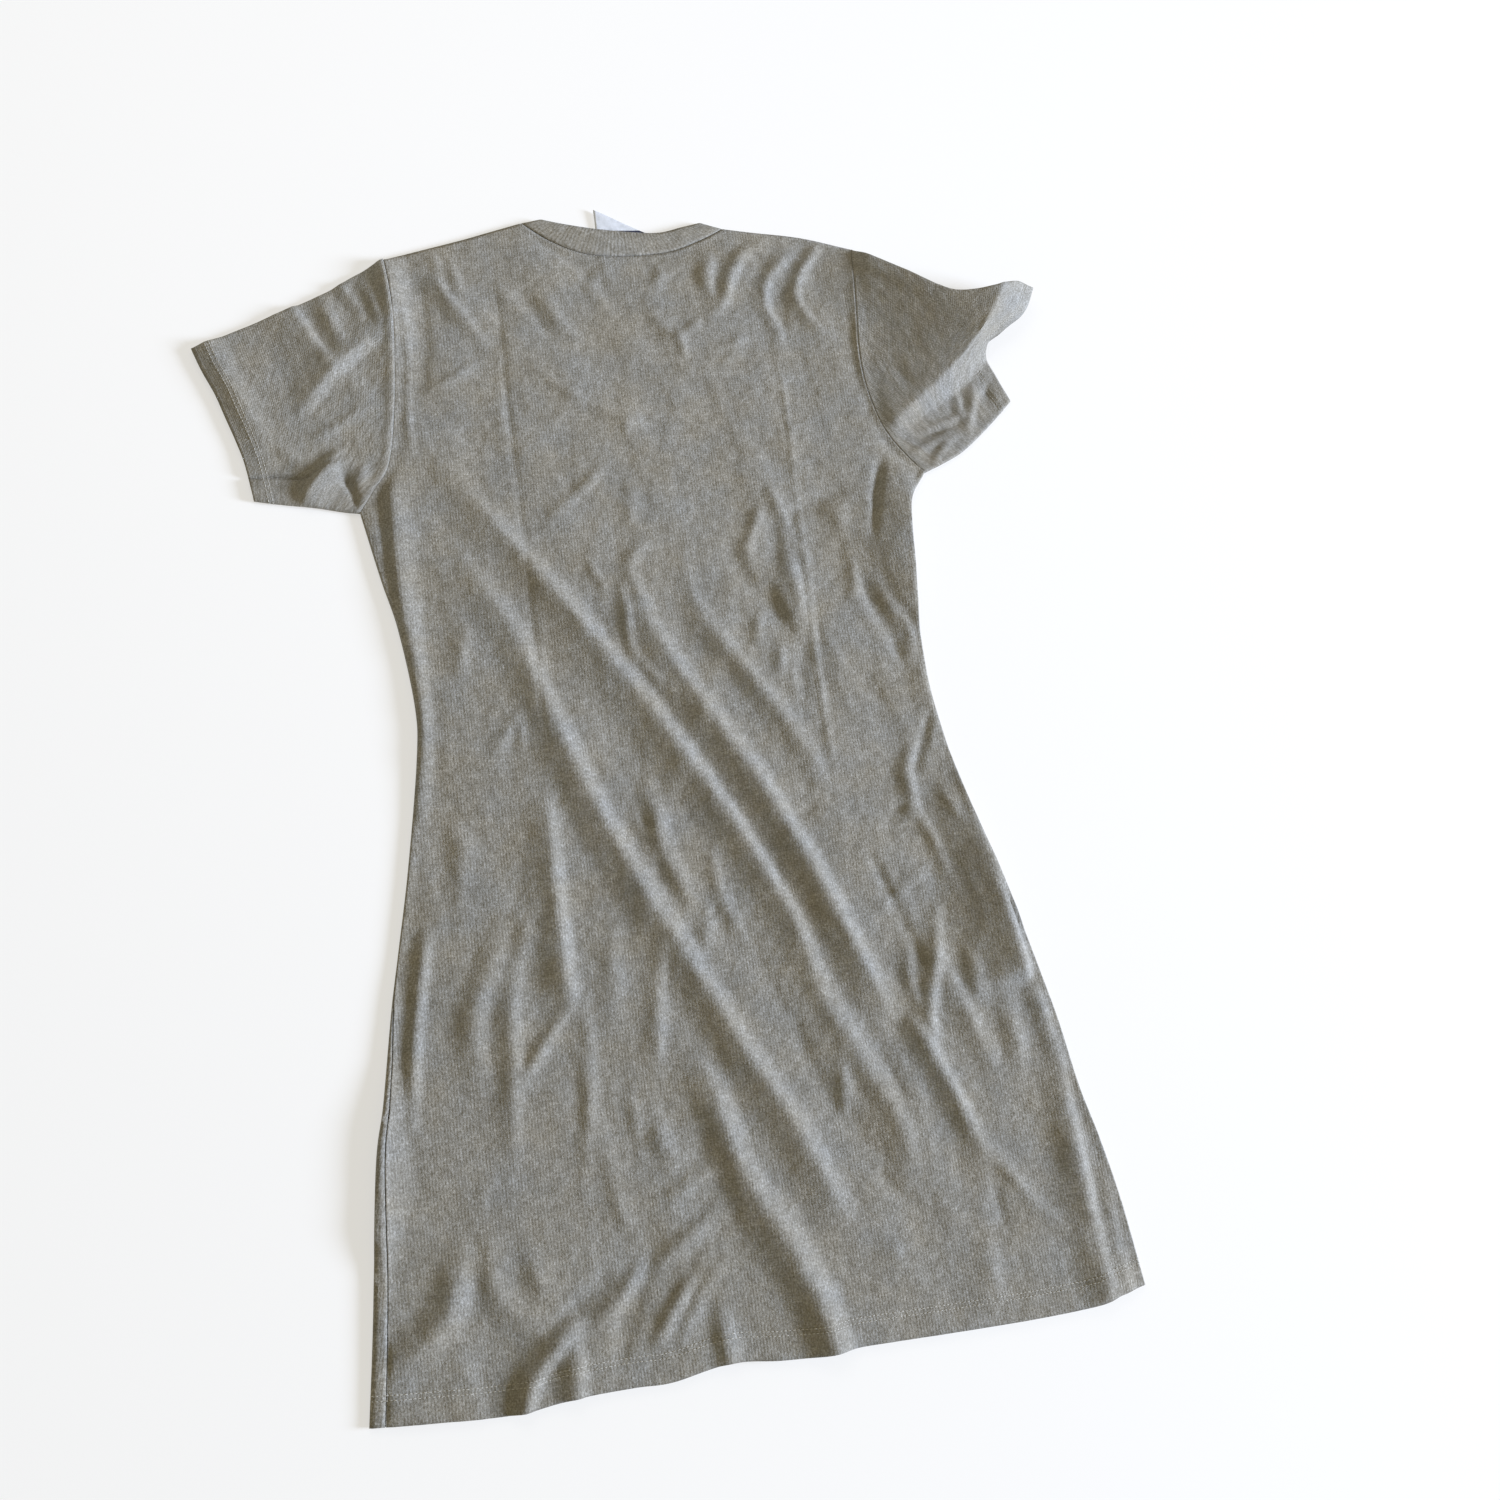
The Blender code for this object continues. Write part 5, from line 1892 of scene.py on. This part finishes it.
@dataclass(frozen=True)
class Stitching:
    """Twin-needle rows of a hem, each stitch a short rounded bar of thread along the row.

    Attributes:
        pitch: Spacing of the stitches, in millimetres.
        length: Length of a stitch.
        thickness: Thickness of the thread.
        gauge: Distance between the two rows.
        margin: Distance of the upper row from the top of the hem.
        raised: Share of the thread's thickness that its middle is above the cloth.
        uneven: Share by which the stitches differ in size.
        seed: Seed of that unevenness.
    """

    pitch: float = 3.0
    length: float = 2.5
    thickness: float = 0.55
    gauge: float = 3.2
    margin: float = 1.0
    raised: float = 0.2
    uneven: float = 0.16
    seed: int = 11

    def tree(self) -> Tree:
        """The node tree that sets a stitch at each step along a path.

        Returns:
            The tree, its sizes as named inputs.
        """
        tree = bpy.data.node_groups.new("stitching", "GeometryNodeTree")
        for name, kind in (
            ("Path", "Geometry"), ("Pitch", "Float"), ("Length", "Float"), ("Thickness", "Float"),
            ("Least", "Float"), ("Seed", "Int"), ("Thread", "Material"),
        ):
            tree.interface.new_socket(name, in_out="INPUT", socket_type=f"NodeSocket{kind}")
        tree.interface.new_socket("Stitches", in_out="OUTPUT", socket_type="NodeSocketGeometry")
        given = add(tree, "NodeGroupInput").outputs
        row = add(tree, "GeometryNodeMeshToCurve", Mesh=given["Path"]).outputs["Curve"]
        steps = add(
            tree, "GeometryNodeCurveToPoints", {"mode": "LENGTH"}, Curve=row, Length=given["Pitch"]
        ).outputs
        bar = add(tree, "GeometryNodeMeshUVSphere", Segments=6, Rings=4, Radius=0.5)
        size = add(
            tree, "ShaderNodeCombineXYZ",
            X=given["Thickness"], Y=given["Thickness"], Z=given["Length"],
        ).outputs[0]
        vary = add(
            tree, "FunctionNodeRandomValue", n2=given["Least"], n3=1.0, Seed=given["Seed"]
        ).outputs[1]
        scale = add(tree, "ShaderNodeVectorMath", {"operation": "SCALE"}, n0=size, Scale=vary)
        stitches = add(
            tree, "GeometryNodeInstanceOnPoints",
            Points=steps["Points"], Instance=bar.outputs["Mesh"], Rotation=steps["Rotation"],
            Scale=scale.outputs[0],
        ).outputs["Instances"]
        real = add(tree, "GeometryNodeRealizeInstances", Geometry=stitches).outputs["Geometry"]
        done = add(tree, "GeometryNodeSetMaterial", Geometry=real, Material=given["Thread"])
        add(tree, "NodeGroupOutput", Stitches=done.outputs["Geometry"])
        return tree

    def sew(self, name: str, rows: Sequence[np.ndarray], thread: Material) -> Object:
        """Makes the stitches of a hem.

        Args:
            name: Name of the piece.
            rows: Places along each row of stitches, in plan millimetres.
            thread: Finish of the thread.

        Returns:
            The stitches, as one plain mesh.
        """
        points, edges = [], []
        for row in rows:
            first = len(points)
            points += ((row - [*PLAN_CENTRE, 0]) * MM).tolist()
            edges += [(first + step, first + step + 1) for step in range(len(row) - 1)]
        path = bpy.data.meshes.new(name)
        path.from_pydata(points, edges, [])
        made = bpy.data.objects.new(name, path)
        bpy.context.scene.collection.objects.link(made)
        layer = made.modifiers.new("stitching", "NODES")
        layer.node_group = self.tree()
        sizes = {
            "Pitch": self.pitch * MM, "Length": self.length * MM,
            "Thickness": self.thickness * MM, "Least": 1 - self.uneven, "Seed": self.seed,
            "Thread": thread,
        }
        for item in layer.node_group.interface.items_tree:
            if item.in_out == "INPUT" and item.name in sizes:
                layer[item.identifier] = sizes[item.name]
        stitched = made.evaluated_get(bpy.context.evaluated_depsgraph_get())
        mesh = bpy.data.meshes.new_from_object(stitched)
        made.modifiers.remove(layer)
        made.data = mesh
        mesh.shade_smooth()
        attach(made, "root")
        LOG.info("%s: %d faces", name, len(mesh.polygons))
        return made

    def hem(
        self,
        name: str,
        grid: ClothGrid,
        depth: Sequence[float],
        from_last: bool,
        outward: float,
        thread: Material,
    ) -> Object:
        """Sews the twin rows of one hem.

        Args:
            name: Name of the piece.
            grid: The cloth that is hemmed.
            depth: Depth of the hem at its first column and at its last.
            from_last: Whether the hem is at the last row.
            outward: 1 or -1, for the side of the cloth that faces out.
            thread: Finish of the thread.

        Returns:
            The stitches.
        """
        above = CLOTH / 2 + self.thickness * self.raised
        insets = [[part - self.margin - row for part in depth] for row in (0.0, self.gauge)]
        rows = [grid.stitch_line(inset, from_last, outward, above) for inset in insets]
        return self.sew(name, rows, thread)


# ------------------------------------------------------------------ studio


@dataclass(frozen=True)
class Lamp:
    """A round area light.

    Attributes:
        name: Its name.
        place: Where it is, in metres.
        target: Where it points.
        size: Diameter, in metres.
        power: Power, in watts.
        colour: Its linear colour.
    """

    name: str
    place: Vector
    target: Vector
    size: float
    power: float
    colour: tuple[float, float, float]

    def hang(self) -> None:
        """Adds the light to the scene."""
        data = bpy.data.lights.new(self.name, "AREA")
        data.shape, data.size, data.energy = "DISK", self.size, self.power
        data.color = self.colour
        made = bpy.data.objects.new(self.name, data)
        made.location = self.place
        made.rotation_euler = (self.place - self.target).to_track_quat("Z", "Y").to_euler()
        bpy.context.scene.collection.objects.link(made)


@dataclass(frozen=True)
class Studio:
    """Pale floor and wall, a large cool key light from the right, a small lamp, a weak warm fill.

    Attributes:
        floor_size: Width of the floor, in metres.
        floor_gap: How far the floor is under the dress.
        wall_height: Height of the backdrop.
        wall_panels: Panels of its round.
        key_turn: Azimuth of the key light, in degrees from the right.
        key_height: Its elevation, in degrees.
        key_away: Its distance.
        key_size: Its diameter.
        key_power: Its power, in watts.
        key_colour: Its colour, that of a north window.
        top_place: Place of the small lamp by the neck.
        top_target: Where it points.
        top_size: Its diameter.
        top_power: Its power.
        top_colour: Its colour.
        fill_colour: Colour of the light from all round.
        fill: Its strength.
        lens: Focal length of the camera, in millimetres.
        sensor: Width of its sensor.
        camera_place: Where it stands.
        camera_axes: Its directions to the right, up and back.
    """

    floor_size: float = 12.0
    floor_gap: float = 0.0002
    wall_height: float = 7.0
    wall_panels: int = 48
    key_turn: float = -12.0
    key_height: float = 20.0
    key_away: float = 6.0
    key_size: float = 1.9
    key_power: float = 668.0
    key_colour: tuple[float, float, float] = (0.85, 0.96, 1.19)
    top_place: tuple[float, float, float] = (-0.2, 0.75, 1.0)
    top_target: tuple[float, float, float] = (-0.05, 0.35, 0.0)
    top_size: float = 0.8
    top_power: float = 2.2
    top_colour: tuple[float, float, float] = (1.0, 1.0, 1.05)
    fill_colour: tuple[float, float, float] = (0.40, 0.345, 0.21)
    fill: float = 0.86
    lens: float = 34.8
    sensor: float = 36.0
    camera_place: tuple[float, float, float] = (-0.1884, -0.2813, 1.0427)
    camera_axes: tuple[tuple[float, float, float], ...] = (
        (0.97355, -0.14345, 0.17782),
        (0.09352, 0.96034, 0.26267),
        (-0.20844, -0.23909, 0.94836),
    )

    def paper(self, name: str, points: np.ndarray, faces: list, paper: StudioPaper) -> Object:
        """Hangs or lays a sheet of paper.

        Args:
            name: Name of the object.
            points: Its points, in metres.
            faces: Its faces.
            paper: Its finish.

        Returns:
            The object.
        """
        mesh = bpy.data.meshes.new(name)
        mesh.from_pydata(points.tolist(), [], faces)
        mesh.materials.append(paper.material())
        made = bpy.data.objects.new(name, mesh)
        bpy.context.scene.collection.objects.link(made)
        return made

    def floor(self) -> None:
        """Lays the floor just under the dress."""
        corners = np.array([(-1, -1, 0), (1, -1, 0), (1, 1, 0), (-1, 1, 0)]) * self.floor_size / 2
        made = self.paper("floor", corners, [(0, 1, 2, 3)], StudioPaper())
        made.location.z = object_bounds()[0].z - self.floor_gap
        made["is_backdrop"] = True

    def backdrop(self) -> None:
        """Stands a round wall at the floor's edge. Only the camera sees it: it moves no light."""
        turns = np.linspace(0, math.tau, self.wall_panels, endpoint=False)
        foot = np.stack([np.cos(turns), np.sin(turns), turns * 0], axis=-1) * self.floor_size / 2
        points = np.concatenate([foot, foot + [0, 0, self.wall_height]])
        count = self.wall_panels
        panels = [
            (step, (step + 1) % count, count + (step + 1) % count, count + step)
            for step in range(count)
        ]
        lit = StudioPaper(name="backdrop paper", glow=1.0, reflects=0.0)
        made = self.paper("backdrop", points, panels, lit)
        made.data.shade_smooth()
        for kind in ("diffuse", "glossy", "transmission", "shadow"):
            setattr(made, f"visible_{kind}", False)
        made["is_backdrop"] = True

    def lights(self) -> None:
        """Hangs the key light and the small lamp, and sets the fill."""
        turn, height = math.radians(self.key_turn), math.radians(self.key_height)
        level = math.cos(height)
        towards = Vector((math.cos(turn) * level, math.sin(turn) * level, math.sin(height)))
        place, middle = towards * self.key_away, Vector((0, 0, 0))
        Lamp("key", place, middle, self.key_size, self.key_power, self.key_colour).hang()
        place, target = Vector(self.top_place), Vector(self.top_target)
        Lamp("top", place, target, self.top_size, self.top_power, self.top_colour).hang()
        world = bpy.data.worlds.new("fill")
        world.use_nodes = True
        shade = world.node_tree.nodes["Background"]
        give(world.node_tree, shade, Color=(*self.fill_colour, 1.0), Strength=self.fill)
        bpy.context.scene.world = world
        bpy.context.scene.view_settings.view_transform = "Standard"

    def camera(self) -> None:
        """Stands the camera over the left of the skirt, leaning towards the neck."""
        data = bpy.data.cameras.new("camera")
        data.lens, data.sensor_width = self.lens, self.sensor
        made = bpy.data.objects.new("camera", data)
        turn = Matrix(self.camera_axes).transposed().to_4x4()
        made.matrix_world = Matrix.Translation(self.camera_place) @ turn
        bpy.context.scene.collection.objects.link(made)
        bpy.context.scene.camera = made


def main() -> None:
    """Builds the dress in its order, then the studio."""
    logging.basicConfig(level=logging.INFO, format="%(message)s")
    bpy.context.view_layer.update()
    pattern = Pattern()
    jersey = HeatherJersey().material()
    rib_finish = HeatherJersey(name="heather rib", wale=0.0013, relief=0.00010, ribbed=True)
    ribbing = rib_finish.material()
    front_panel = FrontPanel(pattern, pattern.front_neck_seam)
    back_panel = BackPanel(pattern, pattern.back_neck_seam, front=front_panel)
    front, back = front_panel.build(jersey), back_panel.build(jersey)
    thread, stitching = SewingThread().material(), Stitching()
    for sleeve in sleeves(pattern):
        cloth = sleeve.build(jersey)
        outward = 1.0 if sleeve.side is Side.LEFT else -1.0
        name, depth = f"{sleeve.name}_stitches", (sleeve.hem_depth, sleeve.hem_depth)
        cuff = stitching.hem(name, cloth.grid, depth, True, outward, thread)
    rib = Neckband(pattern).build(ribbing)
    label = NeckLabel().build(WovenRibbon().material())
    for panel, cloth, outward, sewn_on in (
        (front_panel, front, -1.0, []), (back_panel, back, 1.0, [rib, label])
    ):
        name = f"{panel.name}_stitches"
        hem = stitching.hem(name, cloth.grid, back_panel.hem_depth, False, outward, thread)
        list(sewn_on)
    studio = Studio()
    studio.floor()
    studio.backdrop()
    studio.lights()
    studio.camera()


if __name__ == "__main__":
    main()
